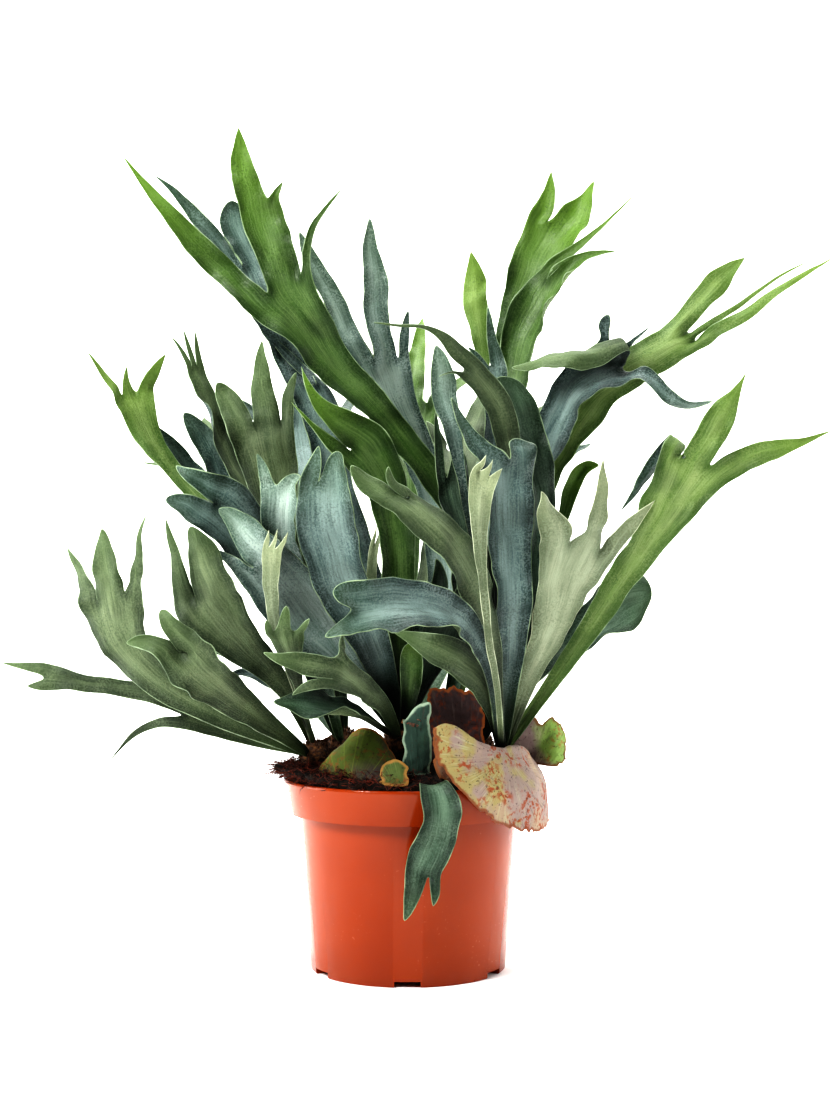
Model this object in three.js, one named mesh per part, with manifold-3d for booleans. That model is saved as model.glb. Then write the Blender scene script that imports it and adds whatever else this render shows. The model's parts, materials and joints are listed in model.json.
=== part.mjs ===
// A staghorn fern growing in a plastic nursery pot. Millimetres, +Z up.
// The origin is the middle of the pot's underside, and the viewer stands on the -Y side.
import * as THREE from "three";
import { ConvexGeometry } from "three/addons/geometries/ConvexGeometry.js";
import { mergeVertices } from "three/addons/utils/BufferGeometryUtils.js";
import Module from "manifold-3d";

const wasm = await Module();
wasm.setup();

// Driving dimensions of the pot: a standard 17 cm nursery pot.
const RIM_RADIUS = 85;
const POT_HEIGHT = 130;
const RIM_BAND = 23;
const RIM_SKIRT_RADIUS = 82.6;
const SHOULDER_RADIUS = 75.4;
const FOOT_RADIUS = 66.5;
const WALL = 2.2;
const FLOOR = 5;
const CHANNEL_WIDTH = 17;
const CHANNEL_DEPTH = 4;
const CHANNELS = 6;
const CHANNEL_START = 24;
const DRAIN_RADIUS = 5;
const DRAIN_RING = 50;
const POT_SIDES = 40;

// Gaps and thicknesses that every piece shares.
const SEAT_GAP = 0.35;
const STALK_THICKNESS = 2.8;
const BLADE_THICKNESS = 1.5;
const EDGE_THINNING = 0.38;
const SHIELD_THICKNESS = 1.8;
const CLEARANCE = 1.9;

// Fronds are laid out as they look from here: each point is given by where it shows
// on the upright plane through the pot's axis, and by how far behind that plane it lies.
const EYE = new THREE.Vector3(8.2, -1250, 278);

const finishes = {
  terracotta: { color: "#c64f2c", roughness: 0.42 },
  compost: { color: "#2e221a", roughness: 0.95 },
  furry_bud: { color: "#8a6a45", roughness: 0.95 },
  dusky: { color: "#5f7d78", roughness: 0.7 },
  olive: { color: "#76875a", roughness: 0.7 },
  bright: { color: "#5f8f2a", roughness: 0.6 },
  pale: { color: "#b7bf98", roughness: 0.75 },
  shield_brown: { color: "#8d7366", roughness: 0.9 },
  shield_green: { color: "#6d7a38", roughness: 0.75 },
};

const fern = new THREE.Group();

function addMesh(name, finish, geometry) {
  const material = new THREE.MeshStandardMaterial({ ...finishes[finish], metalness: 0 });
  const mesh = new THREE.Mesh(geometry, material);
  mesh.name = name;
  fern.add(mesh);
}

// Helpers that carry shapes into and out of the boolean library.

function solidOf(geometry) {
  const bare = geometry.clone();
  for (const extra of ["normal", "uv", "color"]) bare.deleteAttribute(extra);
  const merged = mergeVertices(bare, 1e-4);
  return new wasm.Manifold(new wasm.Mesh({
    numProp: 3,
    vertProperties: new Float32Array(merged.attributes.position.array),
    triVerts: new Uint32Array(merged.index.array),
  }));
}

function geometryOf(solid) {
  const mesh = solid.getMesh();
  const geometry = new THREE.BufferGeometry();
  geometry.setAttribute("position", new THREE.BufferAttribute(mesh.vertProperties, 3));
  geometry.setIndex(new THREE.BufferAttribute(mesh.triVerts, 1));
  return geometry;
}

function largestPiece(solid) {
  const pieces = solid.decompose();
  return pieces.reduce((best, piece) => (piece.volume() > best.volume() ? piece : best));
}

function latheSolid(profile, sides) {
  const points = profile.map(([radius, height]) => new THREE.Vector2(radius, height));
  return solidOf(new THREE.LatheGeometry(points, sides).rotateX(Math.PI / 2));
}

const lerp = THREE.MathUtils.lerp;
const degToRad = THREE.MathUtils.degToRad;

function smoothStep(t) {
  return THREE.MathUtils.smoothstep(t, 0, 1);
}

// A gentle, repeatable unevenness between -1 and 1.
function ripple(a, b, seed) {
  const waves = [a * 1.7 + seed, b * 2.3 + seed * 1.9, (a + b) * 1.1 + seed * 0.7];
  return waves.reduce((sum, wave) => sum + Math.sin(wave), 0) / waves.length;
}

function seenPoint([x, z, depth]) {
  const spread = (depth - EYE.y) / -EYE.y;
  return new THREE.Vector3(EYE.x + (x - EYE.x) * spread, depth, EYE.z + (z - EYE.z) * spread);
}

// Sheets. A sheet is a thin surface made of rows of points, which a frond's stalk, its
// blade and its lobes share, and it becomes a solid by growing to both sides.

class Sheet {
  constructor(name, finish, order) {
    Object.assign(this, { name, finish, order, points: [], halves: [], faces: [], rows: [] });
  }

  addRow(points, halves, parent, pinned) {
    const ids = points.map((point, k) => {
      this.points.push(point);
      this.halves.push(halves[k]);
      return this.points.length - 1;
    });
    this.rows.push({ ids, parent, pinned, shift: 0 });
    return { ids, row: this.rows.length - 1 };
  }

  // Quads are split from the near left corner to the far right one, on both faces alike.
  joinRows(near, far) {
    for (let k = 0; k + 1 < near.length; k += 1) {
      this.faces.push([near[k], near[k + 1], far[k + 1]]);
      this.faces.push([near[k], far[k + 1], far[k]]);
    }
  }

  joinTip(near, tip) {
    for (let k = 0; k + 1 < near.length; k += 1) this.faces.push([near[k], near[k + 1], tip]);
  }

  normals() {
    const sums = this.points.map(() => new THREE.Vector3());
    for (const [a, b, c] of this.faces) {
      const ab = this.points[b].clone().sub(this.points[a]);
      const normal = ab.cross(this.points[c].clone().sub(this.points[a]));
      for (const id of [a, b, c]) sums[id].add(normal);
    }
    return sums.map((sum) => sum.normalize());
  }

  geometry() {
    const normals = this.normals();
    const count = this.points.length;
    const positions = new Float32Array(count * 6);
    this.points.forEach((point, id) => {
      const lift = normals[id].clone().multiplyScalar(this.halves[id]);
      point.clone().add(lift).toArray(positions, id * 3);
      point.clone().sub(lift).toArray(positions, (count + id) * 3);
    });
    const index = [];
    const edges = new Set();
    for (const [a, b, c] of this.faces) {
      index.push(a, b, c, count + a, count + c, count + b);
      for (const [u, v] of [[a, b], [b, c], [c, a]]) edges.add(`${u},${v}`);
    }
    for (const edge of edges) {
      const [u, v] = edge.split(",").map(Number);
      if (edges.has(`${v},${u}`)) continue;
      index.push(v, u, count + u, v, count + u, count + v);
    }
    const geometry = new THREE.BufferGeometry();
    geometry.setAttribute("position", new THREE.BufferAttribute(positions, 3));
    geometry.setIndex(index);
    return geometry;
  }
}

const sheets = [];

// Widths are given as they look. A ribbon turned away is really wider, up to this limit.
const NARROWEST_SHOWN = 0.75;

// Ribbons. A ribbon runs along a smooth curve with a width, a facing direction and a
// cupping angle, all of which change evenly along it.

function valueAlong(values, t) {
  const place = Math.min(t, 1) * (values.length - 1);
  const before = Math.min(Math.floor(place), values.length - 2);
  return lerp(values[before], values[before + 1], smoothStep(place - before));
}

// A blade is never flat: along its length it rocks a little from side to side, and its
// channel deepens and opens out. Each margin also swells and shrinks on its own.
const ROCKING = 15;
const CHANNEL_PLAY = 17;
const MARGIN_SWELL = 0.1;
const WAVE_REACH = 21;
const SHORT_WAVE_REACH = 9;

function ribbonFrame(ribbon, share) {
  const t = ribbon.curve.getUtoTmapping(share);
  const centre = ribbon.curve.getPoint(t);
  const tangent = ribbon.curve.getTangent(t);
  const facing = ribbon.faceStart.clone().lerp(ribbon.faceEnd, smoothStep(share));
  const run = share * ribbon.length;
  const free = smoothStep(Math.min(1, share * 1.6));
  const rock = degToRad(ROCKING) * free * ripple(run / WAVE_REACH, ribbon.seed, 1.3);
  const side = ribbon.hinge
    ? ribbon.hinge.clone().projectOnPlane(tangent).normalize()
    : tangent.clone().cross(facing).normalize().applyAxisAngle(tangent, rock);
  const normal = side.clone().cross(tangent).normalize();
  const play = CHANNEL_PLAY * free * ripple(run / WAVE_REACH, ribbon.seed * 1.7, 2.9);
  const cup = degToRad(Math.max(3, lerp(ribbon.cupStart, ribbon.cupEnd, share) + play));
  const swell = [2, 4].map((margin) => {
    return 1 + MARGIN_SWELL * free * ripple(run / SHORT_WAVE_REACH, margin, ribbon.seed);
  });
  const shown = Math.max(NARROWEST_SHOWN, Math.sqrt(1 - side.y * side.y));
  return { centre, side, normal, cup, swell, width: valueAlong(ribbon.widths, t) / shown };
}

// shares holds how much of its own half width each margin of the section keeps.
function crossSection(frame, columns, width, shares = [1, 1]) {
  const half = width / 2;
  return Array.from({ length: columns + 1 }, (unused, k) => {
    const place = -1 + (2 * k) / columns;
    const margin = place < 0 ? 0 : 1;
    const reach = half * frame.swell[margin] * shares[margin];
    const across = (reach / frame.cup) * Math.sin(place * frame.cup);
    const rise = (reach / frame.cup) * (1 - Math.cos(place * frame.cup));
    return frame.centre.clone().addScaledVector(frame.side, across).addScaledVector(frame.normal, rise);
  });
}

function halvesAcross(columns, thickness) {
  return Array.from({ length: columns + 1 }, (unused, k) => {
    const place = -1 + (2 * k) / columns;
    return (thickness / 2) * (1 - EDGE_THINNING * place * place);
  });
}

function countColumns(lobe) {
  if (!lobe.lobes) return lobe.columns ?? 2;
  return lobe.lobes.reduce((sum, child) => sum + countColumns(child), 0);
}

// A row of points comes about this often along a lobe and along a stem.
const LOBE_STEP = 20;
const STEM_STEP = 40;

function lobeSteps(length, pointed) {
  const most = pointed ? 4 : 3;
  return THREE.MathUtils.clamp(Math.round(length / LOBE_STEP) + 1, 2, most);
}

// Neighbouring lobes draw apart by this share of their inner half widths, which leaves a
// round notch between them.
const GAPE = 0.28;

// The powers by which a lobe narrows: a pointed one tapers all along, a blunt one only
// near its end.
const POINTED_TAPER = 2.4;
const BLUNT_TAPER = 5;

// The rows crowd towards a blunt end, and towards the start of a lobe that rolls over.
const BLUNT_CROWDING = 0.75;
const ROLL_CROWDING = 1.35;

// A lobe grows out of a share of its parent's last row, and ends in a tip or forks again.
// One that rolls over turns about that row like a lid about its hinge.
function addLobe(sheet, lobe, base, parentRow, from, inner) {
  const left = sheet.points[base[0]];
  const right = sheet.points[base[base.length - 1]];
  const baseCentre = left.clone().lerp(right, 0.5);
  const targets = lobe.to.map(lobe.place ?? from.place);
  const curve = new THREE.CatmullRomCurve3([baseCentre, ...targets], false, "centripetal");
  const widths = [left.distanceTo(right), ...lobe.to.map((point) => point[3] ?? 0)];
  const pointed = !lobe.lobes;
  if (pointed) widths[widths.length - 1] = widths[widths.length - 2];
  const ribbon = {
    curve,
    widths,
    hinge: lobe.rollsOver ? right.clone().sub(left) : null,
    faceStart: from.face,
    faceEnd: new THREE.Vector3(...(lobe.face ?? from.face.toArray())),
    cupStart: from.cup,
    cupEnd: lobe.cup ?? from.cup,
    length: curve.getLength(),
    seed: sheet.order * 1.3 + base[0],
  };
  const steps = lobe.steps ?? lobeSteps(ribbon.length, pointed);
  const columns = base.length - 1;
  const bluntness = lobe.blunt ? BLUNT_TAPER : POINTED_TAPER;
  const plain = lobe.blunt && pointed ? BLUNT_CROWDING : 1;
  const crowding = lobe.rollsOver ? ROLL_CROWDING : plain;
  let near = base;
  let row = parentRow;
  for (let i = 1; i <= steps; i += 1) {
    if (i === steps && pointed) break;
    const share = (i / steps) ** crowding;
    const frame = ribbonFrame(ribbon, share);
    const taper = pointed ? 1 - share ** bluntness : 1;
    const drawn = 1 - GAPE * smoothStep(Math.min(1, share * 2.5));
    const keeps = inner.map((isInner) => (isInner ? drawn : 1));
    const own = crossSection(frame, columns, frame.width * taper, keeps);
    const carried = base.map((id) => {
      return sheet.points[id].clone().sub(baseCentre).multiplyScalar(taper).add(frame.centre);
    });
    const blend = smoothStep(Math.min(1, share * 1.8));
    const points = own.map((point, k) => carried[k].clone().lerp(point, blend));
    const added = sheet.addRow(points, halvesAcross(columns, BLADE_THICKNESS), row, false);
    sheet.joinRows(near, added.ids);
    near = added.ids;
    row = added.row;
  }
  if (pointed) {
    const tip = sheet.addRow([targets[targets.length - 1]], [BLADE_THICKNESS * 0.3], row, false);
    sheet.joinTip(near, tip.ids[0]);
    return;
  }
  forkInto(sheet, lobe.lobes, near, row, { ...from, face: ribbon.faceEnd, cup: ribbon.cupEnd });
}

// The lobes of a fork share the last row from its left end to its right end.
function forkInto(sheet, lobes, base, parentRow, from) {
  const first = sheet.points[base[0]];
  const across = sheet.points[base[base.length - 1]].clone().sub(first);
  const ordered = lobes
    .map((lobe) => ({ lobe, place: (lobe.place ?? from.place)(lobe.to[0]).sub(first).dot(across) }))
    .sort((a, b) => a.place - b.place);
  let start = 0;
  for (const { lobe } of ordered) {
    const end = start + countColumns(lobe);
    addLobe(sheet, lobe, base.slice(start, end + 1), parentRow, from, [start > 0, end < base.length - 1]);
    start = end;
  }
}

// Buds: knobs of the creeping rhizome, from which the fronds' stalks grow.
const buds = {
  right: { at: seenPoint([64, 141, -19]), radii: [11, 23, 10] },
  rightRear: { at: seenPoint([47, 149, 26]), radii: [13, 32, 13] },
  rearRight: { at: seenPoint([24, 149, 55]), radii: [11, 20, 12] },
  centre: { at: seenPoint([-5, 152, -14]), radii: [12, 26, 14] },
  left: { at: seenPoint([-64, 143, -12]), radii: [11, 28, 11] },
  leftRear: { at: seenPoint([-44, 150, 28]), radii: [12, 30, 13] },
  rear: { at: seenPoint([-4, 150, 50]), radii: [12, 24, 13] },
};
const runners = [
  ["left", "leftRear"], ["leftRear", "rear"], ["rear", "rearRight"], ["rearRight", "rightRear"],
  ["rightRear", "right"], ["centre", "leftRear"],
];

const plans = [];

function planFrond(name, finish, budName, shape) {
  const usual = { place: seenPoint, face: [0, -1, 0.15], cup: [30, 12], root: 6.5 };
  plans.push({ name, finish, budName, ...usual, ...shape });
}

// Each stalk leaves its bud on the side that it leans to, and the stalks of one bud
// stand one behind the other in the order in which they are planned, front to back.
const BUD_SPAN = 0.86;
const ROOT_DEPTH = 0.8;
const MOST_LEAN = 1.15;

function rootOf(plan) {
  const bud = buds[plan.budName];
  const family = plans.filter((other) => other.budName === plan.budName && !other.start);
  const rank = (family.indexOf(plan) + 0.5) / family.length;
  const toward = plan.place(plan.stem[0]).sub(bud.at);
  const drift = lerp(-BUD_SPAN, BUD_SPAN, rank);
  const reach = ROOT_DEPTH * Math.sqrt(1 - drift * drift);
  const swing = THREE.MathUtils.clamp(Math.atan2(toward.x, toward.z), -MOST_LEAN, MOST_LEAN);
  const unit = new THREE.Vector3(Math.sin(swing) * reach, drift, Math.cos(swing) * reach);
  return bud.at.clone().add(unit.multiply(new THREE.Vector3(...bud.radii)));
}

// Fronds in front turn their undersides outward and those behind turn their faces inward,
// as in a shuttlecock, and each has a small turn of its own.
const OUTWARD_TURN = 0.5;
const OWN_TURN = 0.2;

function turnOf(plan, order) {
  if (plan.start || plan.place !== seenPoint) return 0;
  const [x, , depth] = plan.stem[plan.stem.length - 1];
  const outward = THREE.MathUtils.clamp(x / 130, -1, 1) * THREE.MathUtils.clamp(-depth / 60, -1, 1);
  return OUTWARD_TURN * outward + OWN_TURN * ripple(order * 2.1, order, 0.7);
}

// A turned frond's lobes lie in its turned plane.
function turnedPlace(plan, turn) {
  if (!turn) return plan.place;
  const pivot = plan.stem[plan.stem.length - 1][0];
  return ([x, z, depth]) => plan.place([x, z, depth + turn * (x - pivot)]);
}

function growFrond(plan, order) {
  const sheet = new Sheet(plan.name, plan.finish, order);
  const turn = turnOf(plan, order);
  const root = plan.start ? plan.place(plan.start) : rootOf(plan);
  const curve = new THREE.CatmullRomCurve3([root, ...plan.stem.map(plan.place)], false, "centripetal");
  const faces = Array.isArray(plan.face[0]) ? plan.face : [plan.face, plan.face];
  const ribbon = {
    curve,
    widths: [plan.root, ...plan.stem.map((point) => point[3])],
    faceStart: new THREE.Vector3(...faces[0]),
    faceEnd: new THREE.Vector3(...faces[1]).add(new THREE.Vector3(turn, 0, 0)),
    cupStart: plan.cup[0],
    cupEnd: plan.cup[1],
    length: curve.getLength(),
    seed: order * 2.7,
  };
  const columns = countColumns(plan);
  const steps = plan.steps ?? THREE.MathUtils.clamp(Math.round(ribbon.length / STEM_STEP) + 1, 3, 8);
  let near = null;
  let row = -1;
  for (let i = 0; i <= steps; i += 1) {
    const share = i / steps;
    const frame = ribbonFrame(ribbon, share);
    const thickness = lerp(STALK_THICKNESS, BLADE_THICKNESS, smoothStep(share * 1.15));
    const points = crossSection(frame, columns, frame.width);
    const added = sheet.addRow(points, halvesAcross(columns, thickness), row, i === 0);
    if (near) sheet.joinRows(near, added.ids);
    near = added.ids;
    row = added.row;
  }
  forkInto(sheet, plan.lobes, near, row, {
    face: ribbon.faceEnd,
    cup: plan.cup[1],
    place: turnedPlace(plan, turn),
  });
  sheets.push(sheet);
}

// The fronds, front to back. A stem point is [seen x, seen z, depth, width], and a lobe's
// last point is its tip. Lobes are given in any order: the fork sorts them.
function planFronds() {
  planFrond("frond_hanging", "dusky", null, {
    start: [15, 117, -66], root: 11, cup: [14, 18], face: [[0, -0.2, 1], [0.1, -1, 0.1]], steps: 8,
    stem: [
      [17, 127, -81, 18], [21, 117, -92, 23], [24, 101, -96, 25],
      [19, 82, -94, 23], [12, 62, -91, 22],
    ],
    lobes: [
      { to: [[4, 44, -88, 15], [-3, 28, -85]] },
      { to: [[19, 50, -92, 9], [17, 38, -94]], columns: 1 },
    ],
  });
  planFrond("frond_cream_young", "pale", "right", {
    root: 5, cup: [40, 25],
    stem: [
      [61, 190, -74, 5], [54, 232, -100, 6], [50.5, 270, -110, 6],
      [48, 302, -114, 10], [48, 325, -116, 17], [53, 336, -117, 20],
    ],
    lobes: [
      { to: [[52, 343, -118, 5], [54, 350, -118]], columns: 1, steps: 2 },
      { to: [[57, 342, -118, 4], [58.5, 347, -118]], columns: 1, steps: 2 },
      { to: [[62, 339, -118, 5], [65, 341, -118]], columns: 1, steps: 2 },
    ],
  });
  planFrond("frond_belly", "dusky", "right", {
    root: 7, cup: [30, 34], face: [[0, -1, 0.1], [0, -1, 0.35]],
    stem: [
      [58, 196, -64, 8], [48, 226, -88, 14], [28, 247, -118, 27],
      [0, 249, -138, 34], [-34, 245, -146, 34],
    ],
    lobes: [
      { to: [[-46, 254, -152, 18], [-54, 257, -150]], blunt: true },
      { to: [[-46, 234, -152, 14], [-60, 224, -150]] },
    ],
  });
  planFrond("frond_under_belly", "olive", "right", {
    root: 6, cup: [30, 20],
    stem: [[58, 182, -52, 12], [49, 199, -60, 24], [32, 213, -72, 24]],
    lobes: [{ to: [[10, 222, -78, 14], [-14, 230, -80]] }],
  });
  planFrond("frond_wing", "olive", "centre", {
    root: 7, cup: [30, 20], face: [[0, -1, 0.2], [0.1, -1, 0.3]],
    stem: [[-16, 178, -52, 11], [-30, 190, -84, 20], [-48, 202, -112, 24]],
    lobes: [
      { to: [[-66, 205, -122, 28], [-86, 207, -126, 20], [-101, 215, -124]], face: [-0.3, -1, 0.5] },
      { to: [[-70, 193, -126, 13], [-81, 184, -128]], columns: 1 },
      { to: [[-47, 217, -112, 9], [-45, 229, -110]], columns: 1 },
    ],
  });
  planFrond("frond_flat_dark", "bright", "centre", {
    root: 7, cup: [30, 20], face: [0, -0.7, 0.8],
    stem: [[-28, 170, -62, 17], [-52, 177, -84, 26]],
    lobes: [{ to: [[-76, 181, -98, 20], [-97, 181, -106]] }],
  });
  planFrond("frond_spoon", "olive", "left", {
    root: 7.5, cup: [40, 48], face: [[0, -1, 0.4], [0.2, -1, 0.25]],
    stem: [[-88, 159, -52, 12], [-112, 176, -82, 20], [-134, 195, -106, 29], [-152, 211, -120, 38]],
    lobes: [
      { to: [[-165, 231, -126, 22], [-170, 247, -124]], blunt: true, cup: 30 },
      { to: [[-176, 223, -130, 20], [-196, 220, -132]], blunt: true, cup: 60 },
    ],
  });
  planFrond("frond_olive_tall", "olive", "left", {
    root: 7.5, cup: [44, 16], face: [[0, -1, 0.5], [0.05, -1, 0.1]],
    stem: [
      [-92, 155, -34, 11], [-122, 166, -46, 15], [-156, 183, -56, 19],
      [-185, 207, -62, 28], [-198, 230, -64, 37], [-203, 250, -64, 44],
    ],
    lobes: [
      { to: [[-222, 268, -58, 13], [-234, 288, -54]], columns: 1 },
      { to: [[-208, 278, -66, 27], [-211, 303, -68]] },
      { to: [[-187, 273, -60, 10], [-185, 294, -58, 7], [-178, 312, -56]], columns: 1 },
    ],
  });
  planFrond("frond_low", "olive", "left", {
    root: 7, cup: [44, 10], face: [[0, -1, 0.6], [0, -1, 0.3]],
    stem: [[-92, 151, -16, 9], [-120, 159, -24, 13], [-148, 169, -32, 17]],
    lobes: [
      {
        to: [[-176, 188, -40, 18], [-204, 192, -46, 12], [-226, 190, -50, 5], [-246, 196, -54, 20]],
        lobes: [
          { to: [[-262, 204, -54, 6], [-281, 207, -54]], columns: 1 },
          { to: [[-262, 191, -56]], columns: 1, steps: 2 },
        ],
      },
      { to: [[-174, 168, -38, 9], [-192, 156, -42, 5], [-208, 136, -48]], columns: 2 },
    ],
  });
  planFrond("frond_lobed_small", "bright", "left", {
    root: 4, cup: [30, 14],
    stem: [[-74, 188, -84, 5], [-82, 212, -106, 10], [-84, 226, -112, 22]],
    lobes: [
      { to: [[-97, 238, -114]], blunt: true, columns: 1, steps: 3 },
      { to: [[-83, 248, -116]], blunt: true, columns: 2, steps: 3 },
      { to: [[-67, 238, -114]], blunt: true, columns: 1, steps: 3 },
    ],
  });
  planFrond("frond_toothed_young", "pale", "left", {
    root: 4.5, cup: [40, 26],
    stem: [[-80, 200, -68, 5], [-90, 232, -80, 7], [-95, 262, -90, 13], [-91, 285, -94, 14]],
    lobes: [
      { to: [[-94, 299, -95]], columns: 1, steps: 2 },
      { to: [[-88, 300, -96]], columns: 1, steps: 2 },
      { to: [[-81, 298, -95]], columns: 1, steps: 2 },
    ],
  });
  planFrond("frond_olive_broad", "olive", "left", {
    root: 7, cup: [40, 12], face: [[0, -1, 0.3], [0, -1, 0.1]],
    stem: [[-82, 188, -44, 12], [-103, 212, -60, 21], [-124, 232, -70, 37], [-141, 252, -76, 46]],
    lobes: [
      { to: [[-159, 276, -76, 11], [-167, 310, -74]], columns: 1 },
      { to: [[-144, 279, -80, 31], [-151, 306, -82]] },
    ],
  });
  planFrond("frond_bright_upright", "bright", "centre", {
    root: 6, cup: [30, 20],
    stem: [[0, 178, -36, 8], [1, 192, -42, 14], [2, 206, -48, 16]],
    lobes: [{ to: [[1, 224, -54]], blunt: true }],
  });
  planFrond("frond_sage_arch", "olive", "right", {
    root: 7, cup: [30, 16], face: [[0.2, -1, 0.1], [0.3, -1, 0.5]],
    stem: [
      [58, 205, -62, 12], [51, 246, -80, 20], [38, 276, -90, 26],
      [20, 302, -96, 26], [0, 316, -100, 24],
    ],
    lobes: [
      { to: [[-12, 328, -104, 14], [-13, 345, -108]], columns: 1, steps: 3 },
      { to: [[-22, 326, -104, 24], [-42, 346, -110]] },
    ],
  });
  planFrond("frond_dusky_front", "dusky", "right", {
    root: 8, cup: [34, 12],
    stem: [
      [70, 205, -46, 16], [72, 245, -54, 25], [72, 285, -60, 28],
      [71, 322, -66, 31], [69, 342, -70, 37],
    ],
    lobes: [
      { to: [[45, 359, -76, 14], [29, 392, -84]] },
      { to: [[76, 352, -72, 25], [75, 362, -68]], blunt: true, steps: 3 },
    ],
  });
  planFrond("frond_dusky_middle", "dusky", "centre", {
    root: 7.5, cup: [34, 18],
    stem: [
      [-18, 205, -58, 20], [-34, 240, -80, 31], [-50, 272, -92, 35],
      [-57, 302, -100, 36], [-56, 330, -106, 34],
    ],
    lobes: [
      { to: [[-63, 347, -109, 13], [-61, 358, -110]], columns: 1, steps: 3 },
      { to: [[-50, 346, -108, 21], [-46, 354, -108]], blunt: true, steps: 3 },
    ],
  });
  planFrond("frond_bloom_broad", "dusky", "centre", {
    root: 7.5, cup: [34, 14], face: [[0, -1, 0.2], [-0.2, -1, 0.2]],
    stem: [[-30, 196, -46, 17], [-54, 224, -60, 40], [-76, 250, -68, 50], [-96, 276, -74, 42]],
    lobes: [
      { to: [[-114, 298, -78, 30], [-133, 315, -80]] },
      { to: [[-124, 282, -76, 7], [-141, 286, -76]], columns: 1 },
    ],
  });
  planFrond("frond_silver_fold", "pale", "leftRear", {
    root: 6.5, cup: [34, 26],
    stem: [
      [-58, 200, -14, 10], [-70, 238, -36, 14], [-80, 272, -52, 21],
      [-87, 305, -64, 26], [-88, 325, -70, 29],
    ],
    lobes: [
      { to: [[-99, 338, -72, 12], [-104, 352, -74]], columns: 1, steps: 3 },
      { to: [[-82, 334, -74, 16], [-71, 336, -76]], steps: 2 },
    ],
  });
  planFrond("frond_claw", "dusky", "leftRear", {
    root: 7, cup: [34, 30], face: [[0, -1, 0.2], [0.1, -1, 0.4]],
    stem: [[-68, 205, 6, 11], [-88, 250, -10, 20], [-108, 290, -24, 38], [-128, 316, -32, 44]],
    lobes: [
      { to: [[-152, 318, -40, 18], [-168, 320, -42]], blunt: true },
      { to: [[-146, 333, -38, 20], [-161, 344, -38]] },
    ],
  });
  planFrond("frond_bright_middle", "bright", "centre", {
    root: 7.5, cup: [30, 22], face: [[0, -1, 0.1], [0.2, -1, 0.2]],
    stem: [
      [-7, 205, -22, 16], [-6, 245, -22, 23], [-8, 285, -20, 23],
      [-10, 315, -22, 22], [-17, 342, -28, 30], [-29, 357, -34, 38],
    ],
    lobes: [
      { to: [[-51, 373, -42, 23], [-66, 389, -46, 14], [-73, 411, -48]] },
      { to: [[-52, 357, -42, 8], [-66, 371, -46, 5], [-80, 386, -48]], columns: 1 },
    ],
  });
  planFrond("frond_twin_young", "pale", "centre", {
    root: 5, cup: [34, 34],
    stem: [[-16, 215, -38, 6], [-27, 255, -48, 8], [-24, 285, -52, 8]],
    lobes: [
      { to: [[-19, 297, -53, 3], [-14, 308, -54]], columns: 1, steps: 2 },
      { to: [[-22, 296, -53, 3], [-21, 303, -54]], columns: 1, steps: 2 },
    ],
  });
  planFrond("frond_inner_broad", "dusky", "centre", {
    root: 7, cup: [30, 20], face: [[0, -1, 0.1], [0.1, -1, 0.4]],
    stem: [[6, 192, -28, 16], [17, 218, -38, 31], [28, 242, -46, 42]],
    lobes: [
      { to: [[42, 262, -50, 24], [52, 276, -52]], blunt: true },
      { to: [[24, 266, -50, 16], [18, 281, -52]] },
    ],
  });
  planFrond("frond_pale_right", "pale", "right", {
    root: 7.5, cup: [34, 12], face: [[0, -1, 0.1], [0.1, -1, 0.1]],
    stem: [[86, 208, -50, 15], [98, 238, -62, 28], [106, 264, -70, 37], [114, 284, -76, 46]],
    lobes: [
      { to: [[103, 301, -82, 24], [91, 326, -90]] },
      { to: [[132, 316, -80, 21], [135, 349, -82]] },
      { to: [[147, 298, -74, 14], [169, 319, -70]], columns: 1 },
    ],
  });
  planFrond("frond_bright_right", "bright", "right", {
    root: 8, cup: [50, 24], face: [[-0.2, -1, 0.3], [-0.2, -1, 0.2]],
    stem: [
      [92, 184, -34, 10], [113, 214, -42, 15], [137, 249, -50, 18],
      [159, 287, -56, 23], [178, 321, -60, 30], [193, 342, -64, 46],
    ],
    lobes: [
      {
        to: [
          [185, 359, -56, 13], [186, 360, -44, 14], [177, 349, -36, 15],
          [165, 335, -34, 15], [154, 322, -34, 12], [144, 309, -34],
        ],
        rollsOver: true, steps: 6,
      },
      { to: [[210, 370, -70, 42], [226, 391, -72, 17], [233, 408, -72]] },
      { to: [[238, 354, -76, 24], [266, 357, -80, 17], [291, 367, -84]], cup: 34 },
    ],
  });
  planFrond("frond_curled_ribbon", "olive", "rightRear", {
    root: 6.5, cup: [34, 26], face: [[0, -1, 0.1], [-0.4, -1, 0.4]],
    stem: [
      [62, 215, -18, 8], [68, 270, -30, 10], [73, 330, -38, 12],
      [72, 365, -42, 17], [61, 389, -48, 18], [46, 407, -54, 18],
    ],
    lobes: [
      { to: [[30, 423, -62, 13], [14, 439, -70, 4], [-7, 438, -78, 8], [-28, 440, -82]], columns: 2 },
      { to: [[32, 409, -60, 5], [19, 404, -64]], columns: 1 },
    ],
  });
  planFrond("frond_dusky_inner", "dusky", "rightRear", {
    root: 8, cup: [34, 20],
    stem: [
      [78, 220, -8, 12], [87, 262, -16, 17], [91, 305, -22, 20],
      [88, 345, -26, 23], [80, 374, -28, 25],
    ],
    lobes: [{ to: [[70, 394, -30, 19], [57, 404, -30]], blunt: true }],
  });
  planFrond("frond_pale_leaf", "pale", "rightRear", {
    root: 5, cup: [34, 20],
    stem: [[58, 220, -10, 5], [48, 275, -22, 6], [38, 330, -30, 6], [33, 362, -34, 9], [26, 386, -38, 18]],
    lobes: [{ to: [[25, 404, -40, 20], [18, 429, -42]] }],
  });
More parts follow.
